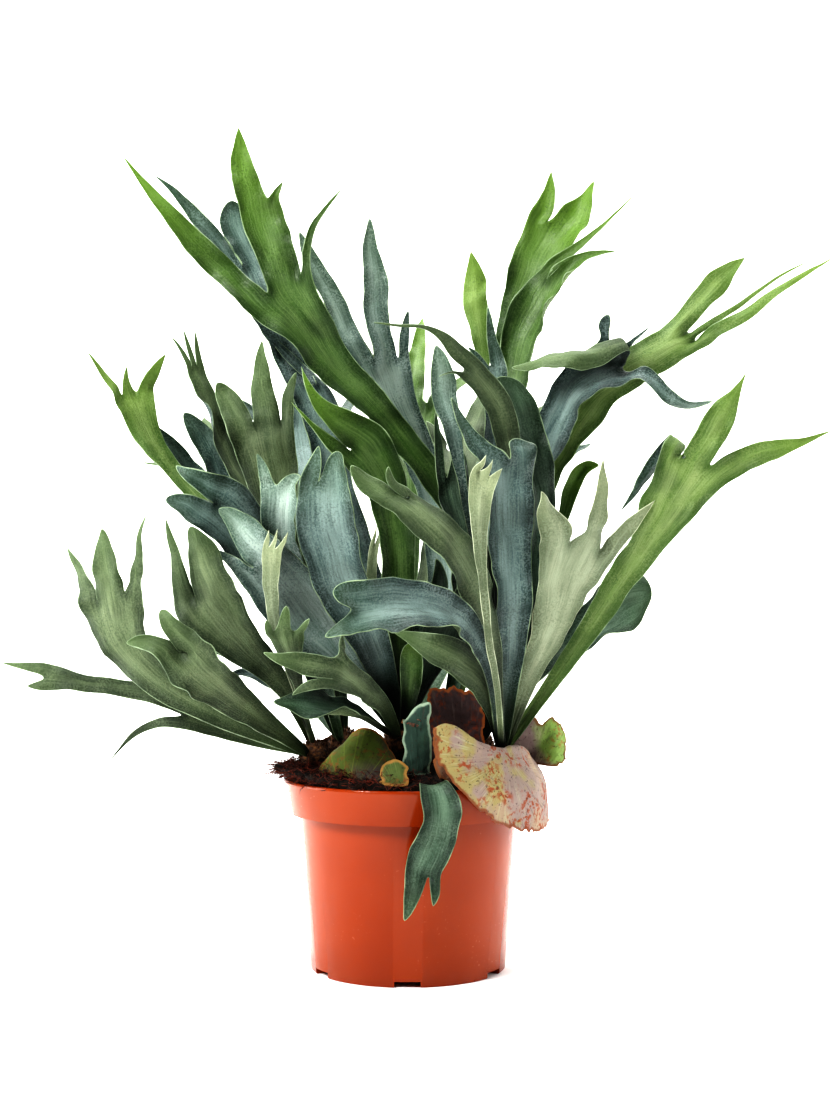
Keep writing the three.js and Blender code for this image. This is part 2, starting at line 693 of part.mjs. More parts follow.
  planFrond("frond_shadow_front", "dusky", "rightRear", {
    root: 7, cup: [34, 16],
    stem: [[50, 215, 0, 18], [44, 258, -10, 27], [38, 304, -16, 25], [31, 332, -20, 26]],
    lobes: [
      { to: [[22, 354, -22, 8], [19, 383, -24]], columns: 1 },
      { to: [[36, 346, -20, 14], [31, 364, -20]], columns: 2 },
    ],
  });
  planFrond("frond_dusky_upright", "dusky", "rightRear", {
    root: 7, cup: [34, 16],
    stem: [[64, 230, 8, 8], [62, 285, 10, 10], [60, 340, 8, 13], [59, 385, 6, 16], [58, 406, 6, 20]],
    lobes: [
      { to: [[56, 430, 6, 9], [54, 455, 6]] },
      { to: [[48, 418, 6, 8], [39, 425, 6]], columns: 1 },
    ],
  });
  planFrond("frond_stag_grey", "olive", "leftRear", {
    root: 7.5, cup: [34, 12],
    stem: [
      [-56, 210, 18, 12], [-72, 255, 14, 17], [-86, 300, 10, 27],
      [-96, 336, 8, 38], [-99, 368, 6, 44],
    ],
    lobes: [
      { to: [[-120, 388, 6, 22], [-133, 402, 6]], blunt: true },
      { to: [[-101, 406, 2, 26], [-100, 431, 0]] },
      { to: [[-83, 392, 6, 15], [-76, 409, 4]], columns: 1 },
    ],
  });
  planFrond("frond_narrow_toothed", "olive", "leftRear", {
    root: 6.5, cup: [40, 30], face: [[0, -1, 0.1], [0.5, -1, 0.1]],
    stem: [
      [-72, 225, 26, 9], [-94, 280, 30, 12], [-117, 335, 30, 15],
      [-134, 372, 28, 15], [-146, 408, 26, 12],
    ],
    lobes: [
      { to: [[-156, 424, 26, 3], [-165, 435, 26]], columns: 1, steps: 3 },
      { to: [[-151, 424, 26, 5], [-155, 438, 26]], columns: 1, steps: 3 },
      { to: [[-146, 424, 26, 5], [-147, 436, 26]], columns: 1, steps: 3 },
    ],
  });
  planFrond("frond_bright_tall", "bright", "rightRear", {
    root: 9, cup: [34, 14], face: [[0, -1, 0.1], [0.15, -1, 0.1]],
    stem: [
      [60, 250, 26, 12], [46, 293, 26, 15], [25, 327, 24, 19], [2, 353, 20, 21],
      [-24, 384, 14, 21], [-50, 413, 8, 26], [-77, 445, 4, 38], [-86, 458, 2, 50],
    ],
    lobes: [
      { to: [[-117, 469, -2, 26], [-149, 502, -10, 22], [-178, 531, -16, 17], [-197, 557, -20]] },
      {
        to: [[-93, 492, 0, 39], [-103, 520, -2, 38]],
        lobes: [
          { to: [[-112, 545, -4, 25], [-116, 576, -6]] },
          { to: [[-90, 532, -2, 8], [-86, 538, -2]], columns: 1, steps: 2 },
        ],
      },
      { to: [[-69, 502, -2, 7], [-57, 519, -4, 5], [-43, 537, -6]], columns: 1 },
    ],
  });
  planFrond("frond_antler_left", "bright", "leftRear", {
    root: 6.5, cup: [40, 14], face: [[0, -1, 0.1], [0.1, -1, 0.1]],
    stem: [
      [-84, 240, 44, 9], [-118, 290, 52, 11], [-148, 325, 56, 10],
      [-170, 348, 58, 11], [-184, 368, 58, 13], [-188, 388, 56, 26],
    ],
    lobes: [
      { to: [[-203, 398, 54, 7], [-222, 422, 52]], columns: 1 },
      { to: [[-195, 400, 54, 10], [-193, 412, 54]], columns: 1 },
      { to: [[-177, 403, 52, 13], [-166, 420, 50]], columns: 1 },
    ],
  });
  planFrond("frond_oval_pair", "dusky", "leftRear", {
    root: 6.5, cup: [34, 12],
    stem: [[-86, 248, 58, 9], [-116, 300, 70, 14], [-134, 332, 74, 24]],
    lobes: [
      { to: [[-141, 360, 74, 19], [-156, 381, 74]], blunt: true },
      { to: [[-158, 352, 72, 18], [-184, 378, 68]] },
    ],
  });
  planFrond("frond_over_right", "dusky", "rightRear", {
    root: 7, cup: [34, 14], face: [[0, -1, 0.2], [-0.1, -1, 0.6]],
    stem: [
      [74, 225, 18, 10], [82, 285, 22, 13], [90, 345, 18, 20],
      [104, 385, 8, 27], [122, 407, 0, 29], [143, 416, -4, 28],
    ],
    lobes: [
      {
        to: [
          [149, 427, -12, 14], [149, 427, -26, 17], [139, 423, -36, 20],
          [118, 417, -38, 23], [93, 412, -40, 24], [66, 409, -40],
        ],
        rollsOver: true, steps: 6, blunt: true,
      },
      { to: [[134, 436, 4, 12], [139, 448, 4]], columns: 1, blunt: true, steps: 3 },
      { to: [[155, 429, -2, 4], [168, 441, -2]], columns: 1, steps: 2 },
      {
        to: [
          [158, 413, -8, 15], [170, 402, -14, 17], [182, 389, -20, 18],
          [197, 382, -24, 15], [213, 388, -26],
        ],
      },
    ],
  });
  planFrond("frond_long_right", "olive", "rightRear", {
    root: 8.5, cup: [44, 18], face: [[0, -1, 0.2], [0.05, -1, 0.2]],
    stem: [
      [78, 245, 32, 13], [84, 305, 34, 19], [99, 355, 32, 26], [124, 388, 28, 32],
      [150, 409, 24, 28], [168, 418, 22, 17], [186, 429, 20, 26],
    ],
    lobes: [
      { to: [[202, 456, 18, 20], [216, 472, 14, 22], [232, 486, 10]], blunt: true },
      { to: [[226, 452, 16, 6], [252, 472, 12, 6], [284, 486, 8]], columns: 1 },
      { to: [[218, 440, 14, 15], [252, 461, 8, 10], [296, 488, 0]] },
    ],
  });
  planFrond("frond_bright_channel", "bright", "rightRear", {
    root: 7, cup: [40, 34], face: [[0, -1, 0.1], [-0.3, -1, 0.2]],
    stem: [[68, 260, 44, 10], [65, 330, 50, 14], [68, 392, 52, 19], [79, 434, 54, 25], [95, 468, 54, 29]],
    lobes: [
      { to: [[118, 486, 52, 14], [144, 489, 48]] },
      { to: [[120, 495, 54, 6], [140, 514, 54, 4], [159, 532, 54]], columns: 1 },
    ],
  });
  planFrond("frond_pale_top", "bright", "rightRear", {
    root: 7, cup: [40, 12],
    stem: [
      [69, 270, 62, 10], [66, 345, 74, 14], [65, 412, 82, 17],
      [73, 450, 86, 24], [88, 484, 88, 34], [99, 503, 90, 45],
    ],
    lobes: [
      { to: [[97, 524, 90, 17], [99, 545, 90]], columns: 1 },
      { to: [[117, 520, 90, 24], [128, 538, 90]] },
    ],
  });
  planFrond("frond_teardrop", "pale", "rearRight", {
    root: 5, cup: [34, 16],
    stem: [[63, 280, 74, 5], [58, 360, 92, 5], [50, 425, 98, 7], [47, 444, 100, 18]],
    lobes: [{ to: [[46, 464, 100, 22], [43, 490, 100]] }],
  });
  planFrond("frond_dusky_tall", "dusky", "rear", {
    root: 8, cup: [34, 12],
    stem: [[24, 220, 76, 24], [24, 290, 88, 28], [11, 340, 92, 22], [-4, 375, 92, 28], [-17, 407, 90, 36]],
    lobes: [
      { to: [[-47, 446, 88, 20], [-62, 476, 86, 19], [-76, 507, 84]], blunt: true },
      { to: [[-23, 448, 88, 28], [-25, 484, 86, 23], [-26, 516, 84]], blunt: true },
      { to: [[-3, 434, 90, 12], [1, 451, 90]], columns: 1 },
    ],
  });
  planFrond("frond_bloom_left", "dusky", "rear", {
    root: 8, cup: [34, 12],
    stem: [[-12, 215, 88, 24], [-36, 280, 104, 27], [-50, 340, 112, 24], [-64, 392, 114, 30]],
    lobes: [
      { to: [[-83, 418, 114, 12], [-103, 438, 112]], columns: 1 },
      {
        to: [[-88, 436, 116, 30], [-108, 475, 118, 36]],
        lobes: [
          { to: [[-138, 510, 118, 18], [-157, 529, 116, 13], [-177, 544, 114]], columns: 1 },
          { to: [[-120, 505, 118, 32], [-121, 528, 116]], blunt: true },
        ],
      },
    ],
  });
  planFrond("frond_young_hook", "bright", "rightRear", {
    root: 4.5, cup: [34, 24],
    stem: [[86, 240, 30, 4.5], [98, 285, 34, 5], [110, 316, 36, 8], [115, 334, 36, 13]],
    lobes: [{ to: [[122, 343, 36, 12], [132, 343, 36]], blunt: true }],
  });
  planFrond("frond_round_dark", "dusky", "rightRear", {
    root: 6.5, cup: [34, 12],
    stem: [[88, 200, 44, 9], [110, 220, 54, 16], [132, 236, 60, 32]],
    lobes: [{ to: [[148, 249, 64, 46], [170, 254, 64]], blunt: true, columns: 4, steps: 4 }],
  });
  planFrond("frond_far_left", "dusky", "leftRear", {
    root: 6.5, cup: [34, 10],
    stem: [[-62, 178, 62, 10], [-84, 192, 78, 14], [-106, 207, 90, 22]],
    lobes: [
      { to: [[-127, 216, 94, 13], [-147, 220, 94]], columns: 1 },
      { to: [[-113, 225, 94, 11], [-123, 243, 94]], columns: 1 },
      { to: [[-117, 201, 92, 9], [-131, 195, 92]], columns: 1 },
    ],
  });
}

// Bending clear. Each row of a sheet may slide along the line of sight until every
// sheet passes the ones planned before it with room to spare, so the view is unchanged.

const SAMPLE_STEP = 3.2;
const CELL = 4.2;
const CELL_DEPTH = 7;
const ROUNDS = 450;
const CLEAR_ENOUGH = 0.15;
const FOOT_PLAY = 2.2;
const GIVING_WAY = 0.3;
const EVENING_OUT = 0.25;

function toSeen(point) {
  const spread = (point.y - EYE.y) / -EYE.y;
  return { x: EYE.x + (point.x - EYE.x) / spread, z: EYE.z + (point.z - EYE.z) / spread, depth: point.y };
}

function addCrowdSample(sheet, sample, cells) {
  const column = Math.floor(sample.x / CELL);
  const line = Math.floor(sample.z / CELL);
  const key = `${column},${line}`;
  if (!cells.has(key)) cells.set(key, { column, line, samples: new Map() });
  const held = cells.get(key).samples;
  const own = `${sheet.name},${Math.floor(sample.depth / CELL_DEPTH)}`;
  const offCentre = Math.hypot(sample.x / CELL - column - 0.5, sample.z / CELL - line - 0.5);
  if (!held.has(own) || offCentre < held.get(own).offCentre) held.set(own, { ...sample, offCentre });
}

function facingOf([a, b, c]) {
  return b.clone().sub(a).cross(c.clone().sub(a)).normalize().y;
}

// A face is dotted with samples, and every cell of the view keeps one for each sheet and depth.
function sampleFace(sheet, face, seen, rowOf, cells) {
  const sides = face.map((id, k) => sheet.points[id].distanceTo(sheet.points[face[(k + 1) % 3]]));
  const steps = Math.max(1, Math.ceil(Math.max(...sides) / SAMPLE_STEP));
  const corners = face.map((id) => seen[id]);
  const steepness = Math.max(0.35, Math.abs(facingOf(face.map((id) => sheet.points[id]))));
  for (let i = 0; i <= steps; i += 1) {
    for (let j = 0; j <= steps - i; j += 1) {
      const [u, v, w] = [i / steps, j / steps, (steps - i - j) / steps];
      const mix = (a, b, c) => a * u + b * v + c * w;
      addCrowdSample(sheet, {
        order: sheet.order,
        x: mix(corners[0].x, corners[1].x, corners[2].x),
        z: mix(corners[0].z, corners[1].z, corners[2].z),
        depth: mix(corners[0].depth, corners[1].depth, corners[2].depth),
        reach: (mix(...face.map((id) => sheet.halves[id])) + CLEARANCE / 2) / steepness,
        rows: face.map((id) => rowOf[id]),
        weights: [u, v, w],
      }, cells);
    }
  }
}

function sampleSheets() {
  const cells = new Map();
  for (const sheet of sheets) {
    const seen = sheet.points.map(toSeen);
    const rowOf = [];
    for (const row of sheet.rows) for (const id of row.ids) rowOf[id] = row;
    for (const face of sheet.faces) sampleFace(sheet, face, seen, rowOf, cells);
  }
  for (const cell of cells.values()) cell.samples = [...cell.samples.values()];
  return cells;
}

function nearbyPairs(cells) {
  const pairs = [];
  for (const { column, line, samples } of cells.values()) {
    for (let dx = -1; dx <= 1; dx += 1) {
      for (let dz = -1; dz <= 1; dz += 1) {
        const others = cells.get(`${column + dx},${line + dz}`)?.samples ?? [];
        for (const front of samples) {
          for (const back of others) {
            if (back.order <= front.order) continue;
            if (Math.hypot(back.x - front.x, back.z - front.z) > CELL) continue;
            pairs.push({ front, back, room: front.reach + back.reach });
          }
        }
      }
    }
  }
  return pairs;
}

function depthOf({ depth, rows, weights }) {
  return depth + rows[0].shift * weights[0] + rows[1].shift * weights[1] + rows[2].shift * weights[2];
}

function pushRows(sample, lack, way) {
  for (let k = 0; k < 3; k += 1) {
    const push = lack * sample.weights[k];
    if (push > sample.rows[k][way]) sample.rows[k][way] = push;
  }
}

function bendClear() {
  const pairs = nearbyPairs(sampleSheets());
  for (let round = 0; round < ROUNDS; round += 1) {
    let worst = 0;
    for (const sheet of sheets) for (const row of sheet.rows) Object.assign(row, { back: 0, front: 0 });
    for (const { front, back, room } of pairs) {
      const lack = room - (depthOf(back) - depthOf(front));
      if (lack <= 0) continue;
      pushRows(front, lack, "front");
      pushRows(back, lack, "back");
      worst = Math.max(worst, lack);
    }
    if (worst < CLEAR_ENOUGH) break;
    for (const sheet of sheets) relaxRows(sheet);
  }
  for (const sheet of sheets) applyShifts(sheet);
}

// A row gives way to its neighbours in the crowd, and then evens out with its own
// neighbours along the frond, so that a stalk bends and never kinks.
function relaxRows(sheet) {
  if (sheet.fixed) return;
  for (const row of sheet.rows) {
    const limit = row.pinned ? FOOT_PLAY : Infinity;
    row.shift = THREE.MathUtils.clamp(row.shift + GIVING_WAY * (row.back - row.front), -limit, limit);
  }
  const before = sheet.rows.map((row) => row.shift);
  const sums = sheet.rows.map(() => 0);
  const counts = sheet.rows.map(() => 0);
  sheet.rows.forEach((row, at) => {
    if (row.parent < 0) return;
    sums[at] += before[row.parent];
    counts[at] += 1;
    sums[row.parent] += before[at];
    counts[row.parent] += 1;
  });
  sheet.rows.forEach((row, at) => {
    if (row.pinned || counts[at] < 2) return;
    row.shift = lerp(before[at], sums[at] / counts[at], EVENING_OUT);
  });
}

function applyShifts(sheet) {
  for (const row of sheet.rows) {
    for (const id of row.ids) {
      const { x, z, depth } = toSeen(sheet.points[id]);
      sheet.points[id] = seenPoint([x, z, depth + row.shift]);
    }
  }
}

// Shields: the sterile fronds that wrap the root ball. Each is a sheet of rows that
// run from its lower margin to its upper one, and it stays where it is.
function growShield(name, finish, order, rowsOfPoints) {
  const sheet = new Sheet(name, finish, order);
  sheet.fixed = true;
  let near = null;
  rowsOfPoints.forEach((points, at) => {
    const halves = points.map(() => SHIELD_THICKNESS / 2);
    const added = sheet.addRow(points, halves, at - 1, true);
    if (near) sheet.joinRows(near, added.ids);
    near = added.ids;
  });
  sheets.push(sheet);
  return sheet;
}

function around(angle, radius, height) {
  const turn = degToRad(angle);
  return new THREE.Vector3(radius * Math.sin(turn), -radius * Math.cos(turn), height);
}

// The apron folds out over the rim. Its margins are [angle, lower height, upper height],
// where the angle turns from the front towards the viewer's right.
const APRON_RADIUS = 82.5;
const APRON_FLARE = 13;
const APRON_FOLD_HEIGHT = 137;
const APRON_FOLD_SOFTNESS = 3.2;
const APRON_SEAT = 131;
const APRON_WAVE = 2.2;

function apronRadius(height) {
  const over = 1 + Math.exp((height - APRON_FOLD_HEIGHT) / APRON_FOLD_SOFTNESS);
  return APRON_RADIUS + APRON_FLARE / over;
}

function growApron() {
  const margins = [
    [12, 149, 168], [17, 139, 171], [23, 127, 169], [31, 114, 161], [40, 104, 155],
    [52, 99, 152], [64, 97, 153], [76, 97, 150], [90, 98, 141],
  ];
  const bands = 4;
  const rows = [];
  for (let band = 0; band <= bands; band += 1) {
    rows.push(margins.map(([angle, low, high]) => {
      const height = lerp(low, high, band / bands);
      const free = 1 - (band / bands) ** 3;
      const bulge = APRON_WAVE * free * ripple(angle / 14, height / 9, 0.6);
      return around(angle, apronRadius(height) + bulge, height);
    }));
  }
  // The upper margin rolls over inward, and goes down into the compost that carries it.
  const roll = [[1, 1.3, 0], [2.8, 1.4, 0], [3.9, 0.3, 0], [4.4, 0, 0.4], [5, 0, 1]];
  for (const [inward, rise, share] of roll) {
    rows.push(margins.map(([angle, low, high], at) => {
      const edge = at === 0 ? 0.6 : 1;
      return around(angle, APRON_RADIUS - inward, lerp(high + rise, APRON_SEAT, share * edge));
    }));
  }
  growShield("shield_apron", "shield_brown", 0.5, rows);
}

function growUprightShield(name, finish, order, places, bands, curl) {
  const rows = [];
  for (let band = 0; band <= bands; band += 1) {
    const share = band / bands;
    rows.push(places.map(([x, low, high, depth], at) => {
      const lean = curl * share * share;
      const wave = 1.6 * ripple(at * 1.3, share * 3, order);
      return seenPoint([x, lerp(low, high, share), depth + lean + wave]);
    }));
  }
  growShield(name, finish, order, rows);
}

function growShields() {
  growApron();
  growUprightShield("shield_dark_wall", "shield_brown", 20.5, [
    [12, 138, 192, -36], [22, 138, 190, -30], [32, 138, 194, -25], [43, 138, 189, -21], [53, 137, 181, -18],
  ], 4, 6);
  growUprightShield("shield_right_wall", "shield_brown", 30.5, [
    [70, 129, 166, 10], [79, 130, 172, 7], [87, 138, 172, 3], [93, 137, 164, -1], [98, 136, 173, -6],
    [104, 136, 168, -4], [108, 142, 156, 2],
  ], 4, 4);
  growUprightShield("shield_green_fold", "shield_green", 3.7, [
    [-5, 130, 168, -64], [2, 129, 175, -68], [9, 129, 181, -66], [16, 130, 183, -60],
  ], 4, 6);
}

// The dome bellies out between its lower margin by the rim and its upper one by the buds.
function growDome(name, finish, order, spec) {
  const rows = [];
  for (let band = 0; band <= spec.bands; band += 1) {
    const share = band / spec.bands;
    rows.push(spec.angles.map((angle, at) => {
      const edge = 1 - Math.abs((2 * at) / (spec.angles.length - 1) - 1) ** 3;
      const height = lerp(spec.low, lerp(spec.low + 12, spec.high, edge), share);
      const belly = spec.belly * Math.sin(Math.PI * share * 0.9) * (0.4 + 0.6 * edge);
      const radius = lerp(spec.outer, spec.inner, share ** 1.5) + belly * 0.3;
      return around(angle, radius + 1.2 * ripple(at, band, order), height);
    }));
  }
  growShield(name, finish, order, rows);
}

function growDomes() {
  growDome("shield_left_dome", "shield_green", 3.6, {
    angles: [-58, -48, -38, -28, -18, -8], low: 133.5, high: 167, outer: 77, inner: 50, belly: 16, bands: 5,
  });
  growDome("shield_small_cup", "shield_green", 3.4, {
    angles: [-13, -8, -4, 1], low: 132.5, high: 150, outer: 80, inner: 74, belly: 6, bands: 3,
  });
  growDome("shield_back_left", "shield_brown", 90, {
    angles: [196, 210, 224, 238, 252], low: 133.5, high: 153, outer: 80, inner: 77, belly: 14, bands: 3,
  });
  growDome("shield_back_right", "shield_brown", 91, {
    angles: [128, 142, 156, 170, 184], low: 133.5, high: 150, outer: 80, inner: 77, belly: 14, bands: 3,
  });
}

// Rear fronds, which the photo doesn't show: the same antler shape, leaning away in a fan.
const REAR_FRONDS = 5;

function planRearFronds() {
  for (let i = 0; i < REAR_FRONDS; i += 1) {
    const share = i / (REAR_FRONDS - 1);
    const bearing = lerp(146, 214, share) + 5 * ripple(i, 2, 1.3);
    const rise = 195 + 70 * Math.sin(Math.PI * share) + 18 * ripple(i * 2, 1, 0.6);
    const reach = 150 - 28 * Math.cos(i * 1.9);
    const budName = ["rearRight", "rear", "leftRear"][Math.round(share * 2)];
    const bud = buds[budName];
    const outward = around(bearing, 1, 0);
    const sideways = around(bearing + 90, 1, 0);
    const place = ([out, across, up]) => {
      const point = bud.at.clone().addScaledVector(outward, out).addScaledVector(sideways, across);
      return point.setZ(point.z + up);
    };
    const sway = 14 * ripple(i * 3, 1, 0.4);
    const at = (out, across, up, width) => [reach * out, sway + across, rise * up, width];
    planFrond(`frond_rear_${i + 1}`, ["dusky", "olive", "bright"][i % 3], budName, {
      place,
      face: outward.clone().negate().setZ(0.9).toArray(),
      cup: [34, 14],
      root: 7,
      stem: [
        at(0.22, -sway, 0.32, 15), at(0.5, -sway / 2, 0.62, 24),
        at(0.78, 0, 0.84, 36), at(0.9, 0, 0.92, 46),
      ],
      lobes: [
        { to: [at(1.05, -34, 1.02, 15), at(1.2, -58, 1.12)], columns: 1, steps: 3 },
        { to: [at(1.1, -4, 1.1, 22), at(1.3, -8, 1.26)], blunt: i % 2 === 0 },
        { to: [at(1.06, 32, 1, 14), at(1.26, 52, 1.06)], columns: 1, steps: 3 },
      ],
    });
  }
}

planFronds();
planRearFronds();
plans.forEach((plan, at) => growFrond(plan, at));
growShields();
growDomes();
bendClear();
for (const sheet of sheets) {
  sheet.solid = solidOf(sheet.geometry());
}

// The sockets: a plain slot for each stalk's foot, wider than it by the seat gap all
// round, is taken out of what holds it.
const FOOT_ROWS = 4;

function surfacePoints(sheet, ids, normals) {
  return ids.flatMap((id) => [-1, 1].map((way) => {
    return sheet.points[id].clone().addScaledVector(normals[id], way * sheet.halves[id]);
  }));
}

function slotCorners(sheet, { ids }, normals) {
  const first = sheet.points[ids[0]];
  const side = sheet.points[ids[ids.length - 1]].clone().sub(first).normalize();
  const facing = normals[ids[Math.floor(ids.length / 2)]].clone();
  facing.addScaledVector(side, -facing.dot(side)).normalize();
  const surface = surfacePoints(sheet, ids, normals).map((point) => point.sub(first));
  const acrossSpan = surface.map((point) => point.dot(side));
  const facingSpan = surface.map((point) => point.dot(facing));
  const corners = [];
  for (const across of [Math.min(...acrossSpan) - SEAT_GAP, Math.max(...acrossSpan) + SEAT_GAP]) {
    for (const rise of [Math.min(...facingSpan) - SEAT_GAP, Math.max(...facingSpan) + SEAT_GAP]) {
      corners.push(first.clone().addScaledVector(side, across).addScaledVector(facing, rise));
    }
  }
  return corners;
}

function footOf(sheet) {
  const normals = sheet.normals();
  const rows = sheet.rows.slice(0, FOOT_ROWS).map((row) => slotCorners(sheet, row, normals));
  const first = sheet.points[sheet.rows[0].ids[0]];
  const back = first.clone().sub(sheet.points[sheet.rows[1].ids[0]]).normalize();
  const foot = surfacePoints(sheet, sheet.rows[0].ids, normals);
  const heels = foot.map((point) => point.sub(first).dot(back));
  for (const point of rows[0]) point.addScaledVector(back, Math.max(...heels) + SEAT_GAP);
  const hulls = rows.slice(1).map((row, at) => {
    return solidOf(new ConvexGeometry([...rows[at], ...row]));
  });
  return wasm.Manifold.union(hulls);
}

function grownSheet(sheet) {
  const points = sheet.points.map((point) => point.clone());
  const moveAway = (id, from) => {
    const away = sheet.points[id].clone().sub(sheet.points[from]).normalize();
    points[id].addScaledVector(away, SEAT_GAP);
  };
  const last = sheet.rows.length - 1;
  sheet.rows.forEach(({ ids }, at) => {
    moveAway(ids[0], ids[1]);
    moveAway(ids[ids.length - 1], ids[ids.length - 2]);
    if (at === 0) ids.forEach((id, k) => moveAway(id, sheet.rows[1].ids[k]));
    if (at === last) ids.forEach((id, k) => moveAway(id, sheet.rows[last - 1].ids[k]));
  });
  const grown = Object.assign(new Sheet(sheet.name, sheet.finish, sheet.order), {
    points,
    faces: sheet.faces,
    halves: sheet.halves.map((half) => half + SEAT_GAP),
  });
  return solidOf(grown.geometry());
}

// The rhizome: furry knobs joined by runners that creep just under the compost's surface.
const RUNNER_RADIUS = 5;
const RUNNER_SINK = 7;
const RUNNER_SAG = 3;

function knob(bud, grow) {
  const ball = new THREE.SphereGeometry(1, 9, 6).rotateX(Math.PI / 2);
  ball.scale(...bud.radii.map((radius) => radius + grow));
  return solidOf(ball.translate(...bud.at.toArray()));
}

function runner(from, to, grow) {
  const start = buds[from].at.clone().setZ(buds[from].at.z - RUNNER_SINK);
  const end = buds[to].at.clone().setZ(buds[to].at.z - RUNNER_SINK);
  const middle = start.clone().lerp(end, 0.5).setZ(start.z - RUNNER_SAG);
  const path = new THREE.CatmullRomCurve3([start, middle, end]);
  const circle = new THREE.Shape().absarc(0, 0, RUNNER_RADIUS + grow, 0, 2 * Math.PI, false);
  const sweep = { steps: 4, curveSegments: 3, bevelEnabled: false, extrudePath: path };
  return solidOf(new THREE.ExtrudeGeometry(circle, sweep));
}

function rhizomeSolid(grow) {
  const knobs = Object.values(buds).map((bud) => knob(bud, grow));
  const links = runners.map(([from, to]) => runner(from, to, grow));
  return wasm.Manifold.union([...knobs, ...links]);
}

const fronds = sheets.filter((sheet) => !sheet.fixed);
const shields = sheets.filter((sheet) => sheet.fixed);
const sockets = wasm.Manifold.union(fronds.map(footOf));
const shieldSpace = wasm.Manifold.union(shields.map(grownSheet));
const rhizome = largestPiece(rhizomeSolid(0).subtract(sockets).subtract(shieldSpace));

// On the viewer's left a mat of old roots lifts and juts out over the rim.
const MAT_OVERHANG = 15;
const MAT_RISE = 6;
const MAT_BEARING = degToRad(-158);
const MAT_SPREAD = 0.62;
const MAT_INNER_RADIUS = 60;
const MAT_OUTER_RADIUS = 78;

function matLip(bearing) {
  const off = Math.atan2(Math.sin(bearing - MAT_BEARING), Math.cos(bearing - MAT_BEARING));
  return Math.exp(-((off / MAT_SPREAD) ** 2));
}

// The root ball fills the pot and heaps up unevenly a little above the rim.
const HEAP_START = 132;
const HEAP_UNEVENNESS = 1.6;

function rootBallSolid() {
  const shoulder = POT_HEIGHT - RIM_BAND;
  const skin = WALL + SEAT_GAP;
  const profile = [
    [0, FLOOR + SEAT_GAP], [FOOT_RADIUS - skin - 0.1, FLOOR + SEAT_GAP],
    [SHOULDER_RADIUS - skin, shoulder - 0.8], [RIM_SKIRT_RADIUS - skin, shoulder + WALL + 2.5],
    [RIM_RADIUS - skin - 0.6, POT_HEIGHT - 4],
    [81.6, 131], [79, 134], [66, 138], [50, 142], [26, 144], [0, 145],
  ];
  const points = profile.map(([radius, height]) => new THREE.Vector2(radius, height));
  const geometry = new THREE.LatheGeometry(points, POT_SIDES).rotateX(Math.PI / 2);
  const spots = geometry.attributes.position;
  for (let i = 0; i < spots.count; i += 1) {
    const [x, y, z] = [spots.getX(i), spots.getY(i), spots.getZ(i)];
    if (z <= HEAP_START) continue;
    const radius = Math.hypot(x, y);
    const outer = THREE.MathUtils.smoothstep(radius, MAT_INNER_RADIUS, MAT_OUTER_RADIUS);
    const lip = outer * matLip(Math.atan2(y, x));
    const spread = 1 + (lip * MAT_OVERHANG) / Math.max(radius, 1);
    const rise = HEAP_UNEVENNESS * ripple(x / 9, y / 9, 0.3) + lip * MAT_RISE;
    spots.setXYZ(i, x * spread, y * spread, z + rise);
  }
  return solidOf(geometry);
}

// The pot: a tapered wall, a wide rim band with a free lower edge, and a channelled floor.
function potSolid() {
  const shoulder = POT_HEIGHT - RIM_BAND;
  const outline = [
    [0, 0], [FOOT_RADIUS - 1, 0], [FOOT_RADIUS, 1], [SHOULDER_RADIUS, shoulder + 2],
    [RIM_SKIRT_RADIUS - 1.6, shoulder + 2], [RIM_SKIRT_RADIUS - 1.6, shoulder], [RIM_SKIRT_RADIUS, shoulder],
    [RIM_RADIUS, POT_HEIGHT - 3], [RIM_RADIUS, POT_HEIGHT - 0.8], [RIM_RADIUS - 0.8, POT_HEIGHT],
    [RIM_RADIUS - WALL, POT_HEIGHT], [RIM_SKIRT_RADIUS - WALL, shoulder + 2 + WALL],
    [SHOULDER_RADIUS - WALL, shoulder - 1], [FOOT_RADIUS - WALL, FLOOR], [0, FLOOR],
  ];
  let pot = latheSolid(outline, POT_SIDES);
  for (let i = 0; i < CHANNELS; i += 1) {
    const turn = ((i + 0.5) / CHANNELS) * 2 * Math.PI;
    const reach = FOOT_RADIUS + 5 - CHANNEL_START;
    const channel = new THREE.BoxGeometry(reach, CHANNEL_WIDTH, CHANNEL_DEPTH * 2);
    pot = pot.subtract(solidOf(channel.translate(CHANNEL_START + reach / 2, 0, 0).rotateZ(turn)));
    const drain = new THREE.CylinderGeometry(DRAIN_RADIUS, DRAIN_RADIUS, FLOOR * 4, 10).rotateX(Math.PI / 2);
    pot = pot.subtract(solidOf(drain.translate(DRAIN_RING, 0, 0).rotateZ(turn)));
  }
  return pot;
}

const pot = potSolid();
const bedSpace = wasm.Manifold.union([rhizomeSolid(SEAT_GAP), sockets, shieldSpace]);
const rootBall = largestPiece(rootBallSolid().subtract(bedSpace));

addMesh("pot", "terracotta", geometryOf(pot));
addMesh("root_ball", "compost", geometryOf(rootBall));
addMesh("rhizome", "furry_bud", geometryOf(rhizome));
for (const shield of shields) addMesh(shield.name, shield.finish, shield.geometry());
for (const frond of fronds) addMesh(frond.name, frond.finish, frond.geometry());

export default fern;
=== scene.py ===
# %% [markdown]
# A staghorn fern in a plastic nursery pot. The plant is an epiphyte: fertile fronds
# that fork like antlers grow from furry buds, and papery shield fronds wrap the roots.
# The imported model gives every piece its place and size. Each piece is rebuilt here in
# finer form over its own solid, so nothing has to be fitted by hand.

# %% Load the frame and the tools
import json
import math
import random
from collections import Counter

import bmesh
import bpy
from mathutils import Matrix, Vector, kdtree, noise
from mathutils.bvhtree import BVHTree


